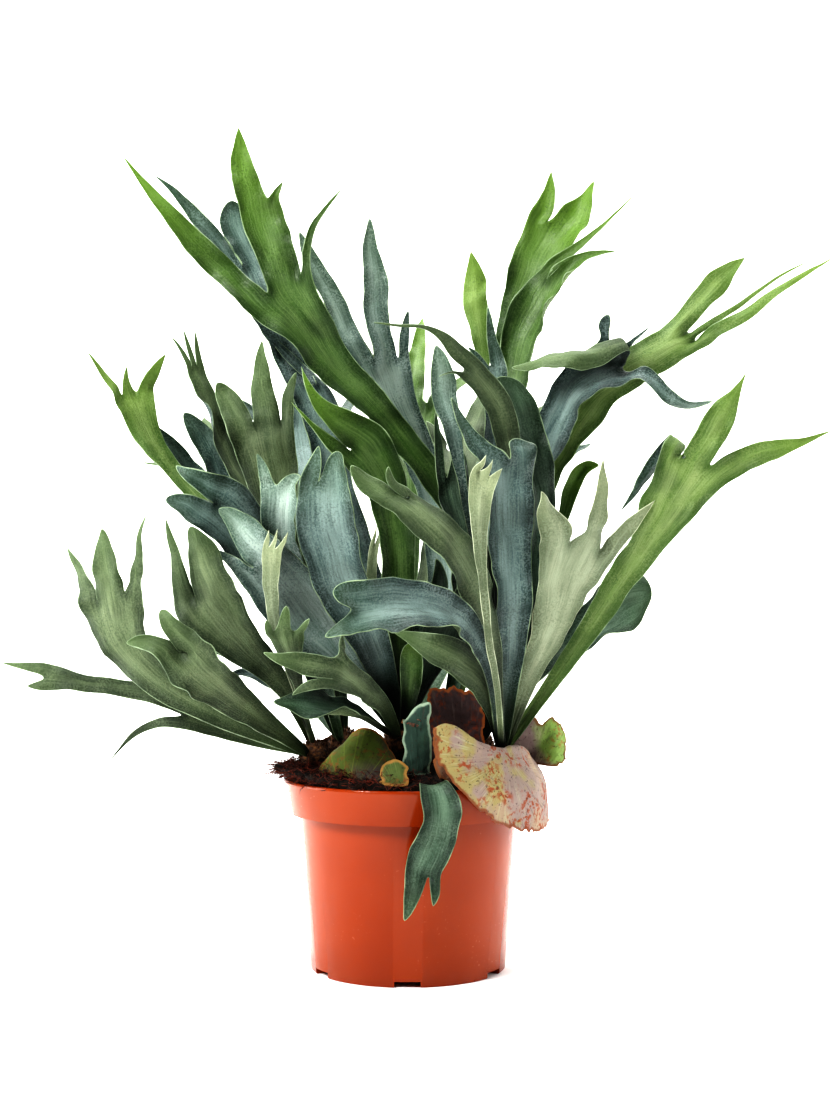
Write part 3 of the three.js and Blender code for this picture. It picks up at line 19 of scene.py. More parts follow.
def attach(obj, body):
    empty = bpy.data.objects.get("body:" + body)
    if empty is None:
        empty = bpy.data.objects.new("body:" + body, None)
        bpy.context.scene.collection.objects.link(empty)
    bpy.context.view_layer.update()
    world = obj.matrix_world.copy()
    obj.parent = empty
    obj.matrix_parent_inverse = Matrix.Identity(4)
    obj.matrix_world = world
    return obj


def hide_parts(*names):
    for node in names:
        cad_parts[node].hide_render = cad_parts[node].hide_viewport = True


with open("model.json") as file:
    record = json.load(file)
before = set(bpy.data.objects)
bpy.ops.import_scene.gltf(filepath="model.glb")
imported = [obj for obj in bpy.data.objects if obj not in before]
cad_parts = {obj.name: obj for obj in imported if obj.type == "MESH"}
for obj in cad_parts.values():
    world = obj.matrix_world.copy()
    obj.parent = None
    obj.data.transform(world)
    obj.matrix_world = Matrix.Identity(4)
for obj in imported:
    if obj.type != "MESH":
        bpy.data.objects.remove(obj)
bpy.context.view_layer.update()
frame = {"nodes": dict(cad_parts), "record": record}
MM = 0.001
# The vector noise takes its seed from the clock unless one is set, so one is set.
noise.seed_set(1)
print("pieces in the frame:", len(frame["nodes"]))

# %% [markdown]
# The photograph is taken level, from a little over a metre away, at the height of the
# middle of the leaves. A camera that isn't tilted keeps the pot's sides upright, so the
# same place and focal length give the same outline.

# %% Camera
CAMERA_PLACE = (8.2, -1250, 278)
LENS = 58.6
SENSOR = 36
CLIP_END = 50

camera_data = bpy.data.cameras.new("camera")
camera_data.lens = LENS
camera_data.sensor_width = SENSOR
camera_data.clip_end = CLIP_END
camera = bpy.data.objects.new("camera", camera_data)
camera.location = Vector(CAMERA_PLACE) * MM
camera.rotation_euler = (math.radians(90), 0, 0)
bpy.context.scene.collection.objects.link(camera)
bpy.context.scene.camera = camera
bpy.context.scene.view_settings.view_transform = "Standard"
bpy.context.scene.view_settings.look = "Very High Contrast"
print("camera at", CAMERA_PLACE, "mm with a lens of", LENS, "mm")

# %% [markdown]
# Colours are noted as the hex values that a paint program shows. Shaders work in linear
# light, so one function turns them round. Nodes are added by one small function too,
# which sets a node's options and either a value or a link for each of its sockets.

# %% Colours and nodes


def linear(hex_colour):
    parts = [int(hex_colour[at:at + 2], 16) / 255 for at in (1, 3, 5)]
    return tuple(p / 12.92 if p <= 0.04045 else ((p + 0.055) / 1.055) ** 2.4 for p in parts) + (1,)


def add(tree, kind, inputs=None, out=0, **options):
    """Adds a node with its settings and links, and gives one of its outputs."""
    node = tree.nodes.new("ShaderNode" + kind)
    for name, value in options.items():
        setattr(node, name, value)
    for socket, value in (inputs or {}).items():
        if isinstance(value, bpy.types.NodeSocket):
            tree.links.new(value, node.inputs[socket])
        else:
            node.inputs[socket].default_value = value
    return node.outputs[out]


def new_material(name, **finish):
    material = bpy.data.materials.new(name)
    material.use_nodes = True
    shader = material.node_tree.nodes["Principled BSDF"]
    for socket, value in finish.items():
        shader.inputs[socket.replace("_", " ")].default_value = value
    return material, material.node_tree


print("middle grey is", round(linear("#808080")[0], 3), "in linear light")

# %% [markdown]
# Natural surfaces are coats over coats: a green skin, a pale bloom on it, freckles and
# dust. Each finish is built that way here. A pattern, such as noise with spots of a real
# size, says how far a coat covers, and several patterns can hold it back together.

# %% Patterns and coats


def spots(tree, size_mm, detail=3.0):
    """Noise on the piece's own coordinates, whose spots are about size_mm across."""
    place = add(tree, "TexCoord", out="Object")
    scale = 1 / (size_mm * MM * 2)
    return add(tree, "TexNoise", {"Vector": place, "Scale": scale, "Detail": detail})


def coat(tree, under, colour, *reaches, fade="SMOOTHSTEP"):
    """Lays a colour over another. A reach is (pattern, low, high) or (pattern, low, high,
    least, most): the cover goes from least to most as the pattern goes from low to high."""
    cover = None
    for pattern, low, high, *ends in reaches:
        least, most = ends or (0.0, 1.0)
        span = {"Value": pattern, "From Min": low, "From Max": high, "To Min": least, "To Max": most}
        reach = add(tree, "MapRange", span, interpolation_type=fade)
        if cover is None:
            cover = reach
        else:
            cover = add(tree, "Math", {0: cover, 1: reach}, operation="MULTIPLY")
    under = linear(under) if isinstance(under, str) else under
    return add(tree, "Mix", {0: cover, 6: under, 7: linear(colour)}, 2, data_type="RGBA")


def shades(tree, pattern, *stops):
    """Colours that follow one pattern, each stop given as (its value, its colour)."""
    colour = stops[0][1]
    for (low, _), (high, lighter) in zip(stops, stops[1:]):
        colour = coat(tree, colour, lighter, (pattern, low, high), fade="LINEAR")
    return colour


def weighted(tree, *shares):
    """The sum of several patterns, each given as (pattern, its weight)."""
    total = 0.0
    for pattern, weight in shares:
        total = add(tree, "Math", {0: pattern, 1: weight, 2: total}, operation="MULTIPLY_ADD")
    return total


def put_on(tree, colour, relief=None, depth_mm=0.0, strength=1.0, **others):
    """Gives the shader its colour and, where there is one, a relief of so many millimetres."""
    shader = tree.nodes["Principled BSDF"]
    sockets = {"Base Color": colour, **others}
    if relief:
        raised = {"Height": relief, "Distance": depth_mm * MM, "Strength": strength}
        sockets["Normal"] = add(tree, "Bump", raised)
    for socket, value in sockets.items():
        tree.links.new(value, shader.inputs[socket])


# %% [markdown]
# Small helpers finish every piece in the same way: its mesh is shaded smooth and becomes
# an object at the origin, tied to the body, and the solid that it stands for is hidden.

# %% Helpers for pieces


def piece_from(mesh, name, *materials):
    for material in materials:
        mesh.materials.append(material)
    mesh.shade_smooth()
    piece = bpy.data.objects.new(name, mesh)
    bpy.context.scene.collection.objects.link(piece)
    return piece


def mesh_from(bm, name):
    mesh = bpy.data.meshes.new(name)
    bm.to_mesh(mesh)
    bm.free()
    return mesh


def modify(piece, kind, **settings):
    """Adds a modifier with its settings."""
    modifier = piece.modifiers.new(kind.lower(), kind)
    for name, value in settings.items():
        setattr(modifier, name, value)


def apply_modifiers(piece):
    bpy.context.view_layer.update()
    shown = piece.evaluated_get(bpy.context.evaluated_depsgraph_get())
    finished = bpy.data.meshes.new_from_object(shown)
    rough = piece.data
    piece.modifiers.clear()
    piece.data = finished
    bpy.data.meshes.remove(rough)


def finish_piece(piece, slot, *nodes):
    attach(piece, "root")
    if nodes:
        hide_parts(*nodes)


# %% [markdown]
# The floor is a plain pale sheet that curves up into a wall far behind, so no horizon
# shows. A photographer calls it a sweep. One strip of edge is spun for the curve.

# %% Floor
SWEEP_FRONT = 3
SWEEP_START = 1.6
SWEEP_RADIUS = 1.2
SWEEP_STEPS = 16
SWEEP_WALL = 5
SWEEP_HALF_WIDTH = 6


def pull_edge(bm, edge, way):
    """Extrudes an edge along a way, and gives the edge at the far end."""
    moved = bmesh.ops.extrude_edge_only(bm, edges=[edge])["geom"]
    corners = [item for item in moved if isinstance(item, bmesh.types.BMVert)]
    bmesh.ops.translate(bm, verts=corners, vec=way)
    return next(item for item in moved if isinstance(item, bmesh.types.BMEdge)
                and all(vert in corners for vert in item.verts))


def paper_sweep_material():
    # Matt background paper: it takes the light evenly and shows no shine.
    material, tree = new_material("studio_paper", Roughness=0.9)
    put_on(tree, shades(tree, spots(tree, 3.0), (0.3, "#fafaf9"), (0.7, "#fdfdfc")))
    return material


def make_floor():
    bm = bmesh.new()
    left = bm.verts.new((-SWEEP_HALF_WIDTH, -SWEEP_FRONT, 0))
    right = bm.verts.new((SWEEP_HALF_WIDTH, -SWEEP_FRONT, 0))
    edge = pull_edge(bm, bm.edges.new((left, right)), (0, SWEEP_START + SWEEP_FRONT, 0))
    bmesh.ops.spin(bm, geom=[edge], cent=(0, SWEEP_START, SWEEP_RADIUS), axis=(1, 0, 0),
                   angle=math.radians(90), steps=SWEEP_STEPS)
    far_side = SWEEP_START + SWEEP_RADIUS
    far = next(item for item in bm.edges if all(abs(vert.co.y - far_side) < 1e-4 for vert in item.verts))
    pull_edge(bm, far, (0, 0, SWEEP_WALL))
    return piece_from(mesh_from(bm, "floor"), "floor", paper_sweep_material())


floor = make_floor()
print("floor faces:", len(floor.data.polygons))

# %% [markdown]
# Studio light is made of large soft boxes. A strong one stands high on the left, so the
# leaves get a light and a dark side. A weak one on the right opens the shadows, and one
# above lights the compost. Two tall boxes at the sides show as pale upright stripes on
# the glossy pot, and one more washes the wall behind, which makes it read white.

# %% Lights


def area_light(name, place, target, size, power):
    data = bpy.data.lights.new(name, "AREA")
    data.shape = "RECTANGLE"
    data.size, data.size_y = size
    data.energy = power
    lamp = bpy.data.objects.new(name, data)
    lamp.location = place
    lamp.rotation_euler = (Vector(target) - Vector(place)).to_track_quat("-Z", "Y").to_euler()
    bpy.context.scene.collection.objects.link(lamp)


PLANT_MIDDLE = (0, 0, 0.26)
SKY_COLOUR = "#f4f6fa"
SKY_STRENGTH = 0.12
area_light("key_left", (-1.3, -1.3, 1.6), PLANT_MIDDLE, (0.7, 0.7), 52)
area_light("fill_right", (1.6, -1.1, 1.0), PLANT_MIDDLE, (0.8, 1.4), 5)
area_light("top", (0.1, 0.1, 2.0), PLANT_MIDDLE, (1.0, 0.8), 22)
area_light("side_left", (-1.5, 0.1, 0.55), PLANT_MIDDLE, (0.7, 1.1), 12)
area_light("side_right", (1.5, 0.1, 0.55), PLANT_MIDDLE, (0.7, 1.1), 9)
area_light("backdrop", (0, 0.9, 2.4), (0, 2.8, 0.8), (3.6, 1.0), 120)

world = bpy.data.worlds.new("studio")
world.use_nodes = True
world.node_tree.nodes["Background"].inputs["Color"].default_value = linear(SKY_COLOUR)
world.node_tree.nodes["Background"].inputs["Strength"].default_value = SKY_STRENGTH
bpy.context.scene.world = world
print("lamps:", len(bpy.data.lights))

# %% [markdown]
# The pot is a thin wall of moulded plastic, so its section is drawn once and spun. The
# upright tapers in towards the foot, a wide band with a free lower edge stiffens the
# rim, and the mould rounds every corner, which short slopes in the section give. A wall
# drawn as a section needs no solidify and keeps the real thickness at each height.

# %% Pot: the wall
RIM_RADIUS = 85
POT_HEIGHT = 130
RIM_BAND = 23
SHOULDER = POT_HEIGHT - RIM_BAND
RIM_SKIRT_RADIUS = 82.6
SHOULDER_RADIUS = 75.4
FOOT_RADIUS = 66.5
WALL = 2.2
POT_FLOOR = 5
POT_STEPS = 160
WELD = 1e-6


def pot_section():
    """Half of the pot cut through its axis, as (radius, height) from the base up and back."""
    skirt = RIM_SKIRT_RADIUS - 1.5
    inner = RIM_RADIUS - WALL
    return [
        (0, 0), (FOOT_RADIUS - 0.8, 0), (FOOT_RADIUS, 0.8),
        (SHOULDER_RADIUS - 0.2, SHOULDER + 1.4), (SHOULDER_RADIUS + 0.4, SHOULDER + 2),
        (skirt - 0.2, SHOULDER + 2), (skirt, SHOULDER + 1.8), (skirt, SHOULDER + 0.2),
        (skirt + 0.3, SHOULDER), (RIM_SKIRT_RADIUS - 0.3, SHOULDER), (RIM_SKIRT_RADIUS, SHOULDER + 0.4),
        (RIM_RADIUS - 0.25, POT_HEIGHT - 3.4), (RIM_RADIUS, POT_HEIGHT - 2.6),
        (RIM_RADIUS, POT_HEIGHT - 0.9), (RIM_RADIUS - 0.3, POT_HEIGHT - 0.3),
        (RIM_RADIUS - 1, POT_HEIGHT), (inner + 0.6, POT_HEIGHT), (inner, POT_HEIGHT - 0.6),
        (RIM_SKIRT_RADIUS - WALL, SHOULDER + 2 + WALL), (SHOULDER_RADIUS - WALL, SHOULDER - 1),
        (FOOT_RADIUS - WALL, POT_FLOOR), (0, POT_FLOOR),
    ]


def make_pot(material):
    bm = bmesh.new()
    corners = [bm.verts.new((radius * MM, 0, height * MM)) for radius, height in pot_section()]
    edges = [bm.edges.new(pair) for pair in zip(corners, corners[1:])]
    bmesh.ops.spin(bm, geom=corners + edges, cent=(0, 0, 0), axis=(0, 0, 1), angle=math.tau,
                   steps=POT_STEPS, use_merge=True)
    bmesh.ops.remove_doubles(bm, verts=bm.verts, dist=WELD)
    bmesh.ops.recalc_face_normals(bm, faces=bm.faces)
    return piece_from(mesh_from(bm, "nursery_pot"), "nursery_pot", material)


# %% [markdown]
# Water has to get out under the pot. Six channels cross the underside and show as small
# notches at the foot, and each has a round hole through the floor. One cutter holds all
# the blocks and pins, and a boolean takes it away in a single step.

# %% Pot: the drainage
CHANNELS = 6
CHANNEL_START = 24
CHANNEL_WIDTH = 17
CHANNEL_DEPTH = 4
CHANNEL_OVERRUN = 5
DRAIN_RADIUS = 5
DRAIN_RING = 50
DRAIN_SIDES = 24


def make_channel_cutter():
    bm = bmesh.new()
    reach = FOOT_RADIUS + CHANNEL_OVERRUN - CHANNEL_START
    size = Matrix.Diagonal((reach * MM, CHANNEL_WIDTH * MM, CHANNEL_DEPTH * 2 * MM, 1))
    place = Matrix.Translation(((CHANNEL_START + reach / 2) * MM, 0, 0))
    hole = Matrix.Translation((DRAIN_RING * MM, 0, 0))
    for at in range(CHANNELS):
        turn = Matrix.Rotation((at + 0.5) / CHANNELS * math.tau, 4, "Z")
        bmesh.ops.create_cube(bm, size=1, matrix=turn @ place @ size)
        bmesh.ops.create_cone(bm, cap_ends=True, segments=DRAIN_SIDES, radius1=DRAIN_RADIUS * MM,
                              radius2=DRAIN_RADIUS * MM, depth=POT_FLOOR * 4 * MM, matrix=turn @ hole)
    return piece_from(mesh_from(bm, "channel_cutter"), "channel_cutter")


# %% [markdown]
# Nursery pots are moulded from recycled polypropylene. The colour is even with slight
# clouds, the skin has a satin gloss that differs a little from place to place, and fine
# pale dust settles on it in patches.

# %% Pot: the plastic
SHARP_CORNER = 42


def pot_material():
    # Moulded polypropylene: its satin skin gives the lamps soft upright reflections.
    material, tree = new_material("moulded_polypropylene", IOR=1.49, Specular_IOR_Level=0.32)
    colour = shades(tree, spots(tree, 40, 2), (0.3, "#853612"), (0.7, "#8f3e17"))
    # The dust is a few tenths of a millimetre, and is drawn at 1 mm so that it shows.
    colour = coat(tree, colour, "#d98d70", (spots(tree, 1.0, 2), 0.66, 0.75),
                  (spots(tree, 22, 2), 0.5, 0.7, 0, 0.3))
    gloss = {"Value": spots(tree, 6, 4), "From Min": 0.3, "From Max": 0.7, "To Min": 0.13, "To Max": 0.21}
    rough = add(tree, "MapRange", gloss, interpolation_type="SMOOTHSTEP")
    put_on(tree, colour, spots(tree, 0.8, 2), depth_mm=0.02, Roughness=rough)
    return material


pot = make_pot(pot_material())
cutter = make_channel_cutter()
modify(pot, "BOOLEAN", operation="DIFFERENCE", solver="EXACT", use_self=True, object=cutter)
apply_modifiers(pot)
bpy.data.objects.remove(cutter)
pot.data.shade_smooth()
pot.data.set_sharp_from_angle(angle=math.radians(SHARP_CORNER))
finish_piece(pot, "pot_plastic", "pot")
print("pot faces:", len(pot.data.polygons))

# %% [markdown]
# A frond is one leaf: a narrow stalk that widens into a blade and forks. Its solid is a
# coarse sheet with two faces and a rim. A leaf could be modelled anew, but the solid has
# every bend already, so the face that looks to the front is taken from it. Faces of one
# side meet at gentle angles, which tells the sides apart. Where a leaf bends too sharply
# for that, the rim is found by the short edges that run through the sheet.

# %% Leaf: the two sides of its solid
SAME_POINT = 2e-5
SHARP_TURNS = (56, 68, 44, 76, 84)
THROUGH_SLANTS = (0.5, 0.3)
THICKEST = 3.2


def joined_faces(start, is_joined):
    """The faces reached from start over edges that is_joined allows."""
    region, waiting = {start}, [start]
    while waiting:
        for edge in waiting.pop().edges:
            for other in edge.link_faces:
                if other not in region and is_joined(edge, other):
                    region.add(other)
                    waiting.append(other)
    return region


def largest_two(faces, is_joined):
    left, regions = set(faces), []
    while left and len(regions) < 2:
        region = joined_faces(max(left, key=lambda face: face.calc_area()), is_joined)
        regions.append(region)
        left -= region
    return regions


def rim_faces(bm, slant):
    """The faces on a short edge that runs through the sheet from one side to the other."""
    ways = {}
    for vert in bm.verts:
        ways[vert] = sum((face.normal * face.calc_area() for face in vert.link_faces), Vector()).normalized()
    rim = set()
    for edge in bm.edges:
        near, far = edge.verts
        through = far.co - near.co
        if through.length < THICKEST * MM:
            through.normalize()
            if through.dot(ways[near]) < -slant and through.dot(ways[far]) > slant:
                rim.update(edge.link_faces)
    return rim


def is_even(bm, regions):
    """A sheet has as many faces in front as behind, and two rim faces on each margin edge."""
    if len(regions) < 2 or len(regions[0]) != len(regions[1]):
        return False
    margin = sum(1 for face in regions[0] for edge in face.edges
                 if len(regions[0].intersection(edge.link_faces)) == 1)
    return 2 * len(regions[0]) + 2 * margin == len(bm.faces)


def two_sides(bm, node_name):
    for turn in SHARP_TURNS:
        limit = math.radians(turn)
        regions = largest_two(bm.faces, lambda edge, other: edge.calc_face_angle(math.pi) < limit)
        if is_even(bm, regions):
            return regions
    for slant in THROUGH_SLANTS:
        rim = rim_faces(bm, slant)
        regions = largest_two(set(bm.faces) - rim, lambda edge, other: other not in rim)
        if is_even(bm, regions):
            return regions
    print("uneven sides:", node_name)
    return regions


# %% [markdown]
# Rows of points cross the sheet from margin to margin. They start at the stalk's foot,
# which is the chain of short margin edges nearest the middle of the pot.

# %% Leaf: the front sheet and its foot
POT_MIDDLE = Vector((0, 0, 0.12))
FOOT_EDGE = 10
FOOT_REACH = 11
FOOT_BEND = 50


def merged_solid(node_name):
    """A node's solid as a bmesh, with the points that its faces share made one again."""
    bm = bmesh.new()
    bm.from_mesh(frame["nodes"][node_name].data)
    bmesh.ops.remove_doubles(bm, verts=bm.verts, dist=SAME_POINT)
    return bm


def front_sheet(node_name):
    """The front face of a thin solid as a bmesh, and a search tree of its back face."""
    bm = merged_solid(node_name)
    bm.normal_update()
    regions = two_sides(bm, node_name)
    front, back = sorted(regions, key=lambda region: sum(face.normal.y * face.calc_area() for face in region))
    corners = [vert.co.copy() for vert in bm.verts]
    back_tree = BVHTree.FromPolygons(corners, [[vert.index for vert in face.verts] for face in back])
    bmesh.ops.delete(bm, geom=[face for face in bm.faces if face not in front], context="FACES")
    return bm, back_tree


frond_names = sorted(name for name in frame["nodes"] if name.startswith("frond_"))
print("fronds to follow from their foot:", len(frond_names))


def foot_row(bm):
    """The vertices across the stalk's foot, which is the end nearest the middle of the pot."""
    margin = [edge for edge in bm.edges if edge.is_boundary]
    reach = min((vert.co - POT_MIDDLE).length for edge in margin for vert in edge.verts)
    short = [edge for edge in margin if edge.calc_length() < FOOT_EDGE * MM
             and all((vert.co - POT_MIDDLE).length < reach + FOOT_REACH * MM for vert in edge.verts)]
    chain = [min(short, key=lambda edge: sum((vert.co - POT_MIDDLE).length for vert in edge.verts))]
    row = list(chain[0].verts)
    for _ in short:
        for edge in short:
            if edge in chain:
                continue
            for end, inward in ((0, 1), (-1, -2)):
                if row[end] in edge.verts:
                    far = edge.other_vert(row[end])
                    bend = (far.co - row[end].co).angle(row[end].co - row[inward].co)
                    if far not in row and bend < math.radians(FOOT_BEND):
                        chain.append(edge)
                        row.insert(0 if end == 0 else len(row), far)
    return row


# %% [markdown]
# Veins run along the leaf and fork with it, so each point has to know its place along and
# across the leaf. An unwrap wouldn't follow the forks. Instead the rows are followed
# upwards from the foot: on each edge of a row stands a pair of triangles whose far corners
# belong to the next row. Where neighbouring pairs no longer share a corner the leaf forks,
# and where a pair is one triangle the lobe ends in a tip.

# %% Leaf: follow the rows


def unused_face(edge, used):
    return next((face for face in edge.link_faces if face not in used), None) if edge else None


def third(face, edge):
    return next(vert for vert in face.verts if vert not in edge.verts)


def lanes_on(bm, row, used, diagonals):
    """What stands on a row's edges, each lane as (a, b, the corner over a, the one over b)."""
    lanes = []
    for a, b in zip(row, row[1:]):
        edge = bm.edges.get((a, b))
        face = unused_face(edge, used)
        if face is None:
            continue
        used.add(face)
        over_b = third(face, edge)
        diagonal = bm.edges.get((a, over_b))
        partner = unused_face(diagonal, used)
        if partner is None:
            lanes.append((a, b, over_b, over_b))
            continue
        used.add(partner)
        diagonals.append(diagonal)
        lanes.append((a, b, third(partner, diagonal), over_b))
    return lanes


def centre_of(verts):
    return sum((vert.co for vert in verts), Vector()) / len(verts)


def rows_from(bm, row):
    """Each vertex's (across, along) and half width, the diagonals of the squares, and the tips."""
    first_edge = bm.edges.get(row[:2])
    corner = third(first_edge.link_faces[0], first_edge)
    if bm.edges.get((row[0], corner)).is_boundary:
        row = row[::-1]
    places = {vert: (float(at), 0.0) for at, vert in enumerate(row)}
    half_widths, used, diagonals, tips = {}, set(), [], []
    waiting = [row]
    while waiting:
        row = waiting.pop()
        half_width = sum((b.co - a.co).length for a, b in zip(row, row[1:])) / 2
        for vert in row:
            half_widths.setdefault(vert, half_width)
        lanes = lanes_on(bm, row, used, diagonals)
        while lanes:
            group = [lanes.pop(0)]
            while lanes and lanes[0][2] == group[-1][3]:
                group.append(lanes.pop(0))
            base = [lane[0] for lane in group] + [group[-1][1]]
            along = sum(places[vert][1] for vert in base) / len(base)
            if group[0][2] == group[-1][3]:
                tip = group[0][2]
                across = sum(places[vert][0] for vert in base) / len(base)
                places[tip] = (across, along + (tip.co - centre_of(base)).length)
                tips.append(tip)
                continue
            following = [group[0][2]] + [lane[3] for lane in group]
            step = (centre_of(following) - centre_of(base)).length
            for vert, below in zip(following, base):
                places.setdefault(vert, (places[below][0], along + step))
            waiting.append(following)
    return places, half_widths, diagonals, tips


# %% [markdown]
# Deep inside a fern the leaves stand so close that little light gets in, and that shade is
# painted into their colour. How crowded a place is can be measured: rays go out from it,
# and the share that hits another leaf within reach is kept with the mesh as its occlusion.
# The material could look for near faces itself, but a stored number is the same in every
# renderer.

# %% Leaf: how crowded each place is
CROWD_REACH = 110
CROWD_RAYS = 24
CROWD_LIFT = 2.5
CROWD_SKIP = 7
OUTWARDS = 1.02
FAR_DISCOUNT = 0.6


def leaf_solids_tree():
    corners, faces = [], []
    for name, node in frame["nodes"].items():
        if name.startswith(("frond_", "shield_")):
            start = len(corners)
            corners.extend(vert.co.copy() for vert in node.data.vertices)
            faces.extend([start + at for at in polygon.vertices] for polygon in node.data.polygons)
    return BVHTree.FromPolygons(corners, faces)


def even_ways(count):
    """Directions that are spread evenly over a ball, by the golden angle."""
    golden = math.pi * (3 - math.sqrt(5))
    ways = []
    for at in range(count):
        height = 1 - 2 * (at + 0.5) / count
        ring = math.sqrt(1 - height * height)
        ways.append(Vector((math.cos(golden * at) * ring, math.sin(golden * at) * ring, height)))
    return ways


LEAF_TREE = leaf_solids_tree()
CROWD_WAYS = even_ways(CROWD_RAYS)


def crowding(place, normal):
    """The share of the rays from a place that meet another leaf, near ones counting more."""
    hits = 0.0
    for ball_way in CROWD_WAYS:
        way = (ball_way + normal * OUTWARDS).normalized()
        start = place + normal * CROWD_LIFT * MM + way * CROWD_SKIP * MM
        found = LEAF_TREE.ray_cast(start, way, CROWD_REACH * MM)
        if found[0] is not None:
            hits += 1 - FAR_DISCOUNT * found[3] / (CROWD_REACH * MM)
    return hits / CROWD_RAYS


print("rays from each place:", len(CROWD_WAYS))


# %% [markdown]
# The coarse sheet is turned into squares by taking its diagonals away, and subdivided
# until it flows, because squares that follow the leaf bend without puckers. A pointed
# lobe gets a crease at its tip, which subdivision would otherwise round off.

# %% Leaf: from coarse to smooth
SUBDIVISIONS = 3
SHARP_TIP = 35
BLUNT_TIP = 75
JUST_INSIDE = 1e-5
SHEET_SEARCH = 6
USUAL_THICKNESS = 1.2
LEAF_THICKEST = 3.0


def tip_sharpness(tip):
    """One for a pointed tip and nothing for a blunt one, from the angle between its margins."""
    ways = [edge.other_vert(tip).co - tip.co for edge in tip.link_edges if edge.is_boundary]
    opening = math.degrees(ways[0].angle(ways[1])) if len(ways) == 2 else BLUNT_TIP
    return min(1.0, max(0.0, (BLUNT_TIP - opening) / (BLUNT_TIP - SHARP_TIP)))


def thickness_at(vert, back_tree):
    hit = back_tree.ray_cast(vert.co - vert.normal * JUST_INSIDE, -vert.normal, SHEET_SEARCH * MM)
    return hit[3] or USUAL_THICKNESS * MM


def subdivided_sheet(node_name, name, tip_crease):
    bm, back_tree = front_sheet(node_name)
    # New layers come first, because adding one makes the vertices found before it invalid.
    grain = bm.loops.layers.uv.new("grain")
    layers = ("thickness", "half_width", "crowd", "crease_vert")
    thickness, half_width, crowd, crease = (bm.verts.layers.float.new(layer) for layer in layers)
    places, half_widths, diagonals, tips = rows_from(bm, foot_row(bm))
    missing = [vert for vert in bm.verts if vert not in places]
    if missing:
        print("unreached points:", node_name, len(missing), "of", len(bm.verts))
    length = max(along for across, along in places.values())
    for vert in bm.verts:
        vert[thickness] = min(thickness_at(vert, back_tree), LEAF_THICKEST * MM)
        vert[half_width] = half_widths.get(vert, 0.001)
        vert[crowd] = min(crowding(vert.co, vert.normal), crowding(vert.co, -vert.normal))
        vert[crease] = tip_sharpness(vert) * tip_crease if vert in tips else 0.0
        for loop in vert.link_loops:
            loop[grain].uv = places.get(vert, (0.0, 0.0))
    bmesh.ops.dissolve_edges(bm, edges=[edge for edge in diagonals if edge.is_valid], use_verts=False)
    piece = piece_from(mesh_from(bm, name), name)
    modify(piece, "SUBSURF", levels=SUBDIVISIONS, render_levels=SUBDIVISIONS, uv_smooth="NONE")
    apply_modifiers(piece)
    return piece, length


print("each square of a leaf becomes", 4 ** SUBDIVISIONS, "squares")

# %% [markdown]
# Shaping a sheet asks the same few things each time: values kept with its points, how far
# a point is from the margin, and noise with finer noise on it.

# %% Measures on a sheet


def store(mesh, name, values):
    layer = mesh.attributes.new(name, "FLOAT", "POINT")
    layer.data.foreach_set("value", values)


def read(mesh, name):
    values = [0.0] * len(mesh.vertices)
    mesh.attributes[name].data.foreach_get("value", values)
    return values


def face_counts(mesh):
    """How many faces each edge has. An edge with one face is on the margin."""
    return Counter(key for polygon in mesh.polygons for key in polygon.edge_keys)


def search_tree(places):
    tree = kdtree.KDTree(len(places))
    for at, place in enumerate(places):
        tree.insert(place, at)
    tree.balance()
    return tree


def margin_distances(mesh):
    """How far each point is from the leaf's margin."""
    margin = [key for key, count in face_counts(mesh).items() if count == 1]
    rim = [mesh.vertices[at].co for key in margin for at in key]
    rim += [(mesh.vertices[a].co + mesh.vertices[b].co) / 2 for a, b in margin]
    tree = search_tree(rim)
    return [tree.find(vert.co)[2] for vert in mesh.vertices]


def layered_noise(place, *layers):
    """Noise with finer noise on it, each layer given as (its strength, how much finer it is)."""
    return sum((strength * noise.noise(place * finer) for strength, finer in layers), noise.noise(place))


def move_points(mesh, places):
    for vert, place in zip(mesh.vertices, places):
        vert.co = place


# %% [markdown]
# A real blade is a trough between raised margins, has low ribs along it, and waves most
# at the margin, where it grows faster than the middle can follow. Each of these is a move
# along the normal that depends on the distance from the margin. The stalk is stiff, so
# the waves fade out towards it.

# %% Leaf: trough, ribs and waves
THINNEST_HALF = 1.5
WIDEST_HALF = 16
RIBS_PER_COLUMN = 1.2
RIB_LENGTH = 45
RIB_RELIEF = 0.4
WAVED_BAND = 14
WAVE_HEIGHT = 9
WAVE_LENGTH = 26
WAVE_LAYERS = ((0.5, 2.1),)
LEAF_SHIFT = 7.1
RIB_FADE = 8
STALK_DRIFT = 0.05
BLADE_GAIN = 2.2
BLADE_START = 0.35
STIFFEST = 0.15
STIFF_BELOW = 13
DRIFT = 4.0
BROAD_DRIFT = 45
FINE_DRIFT = 13
FINE_SHARE = 0.25


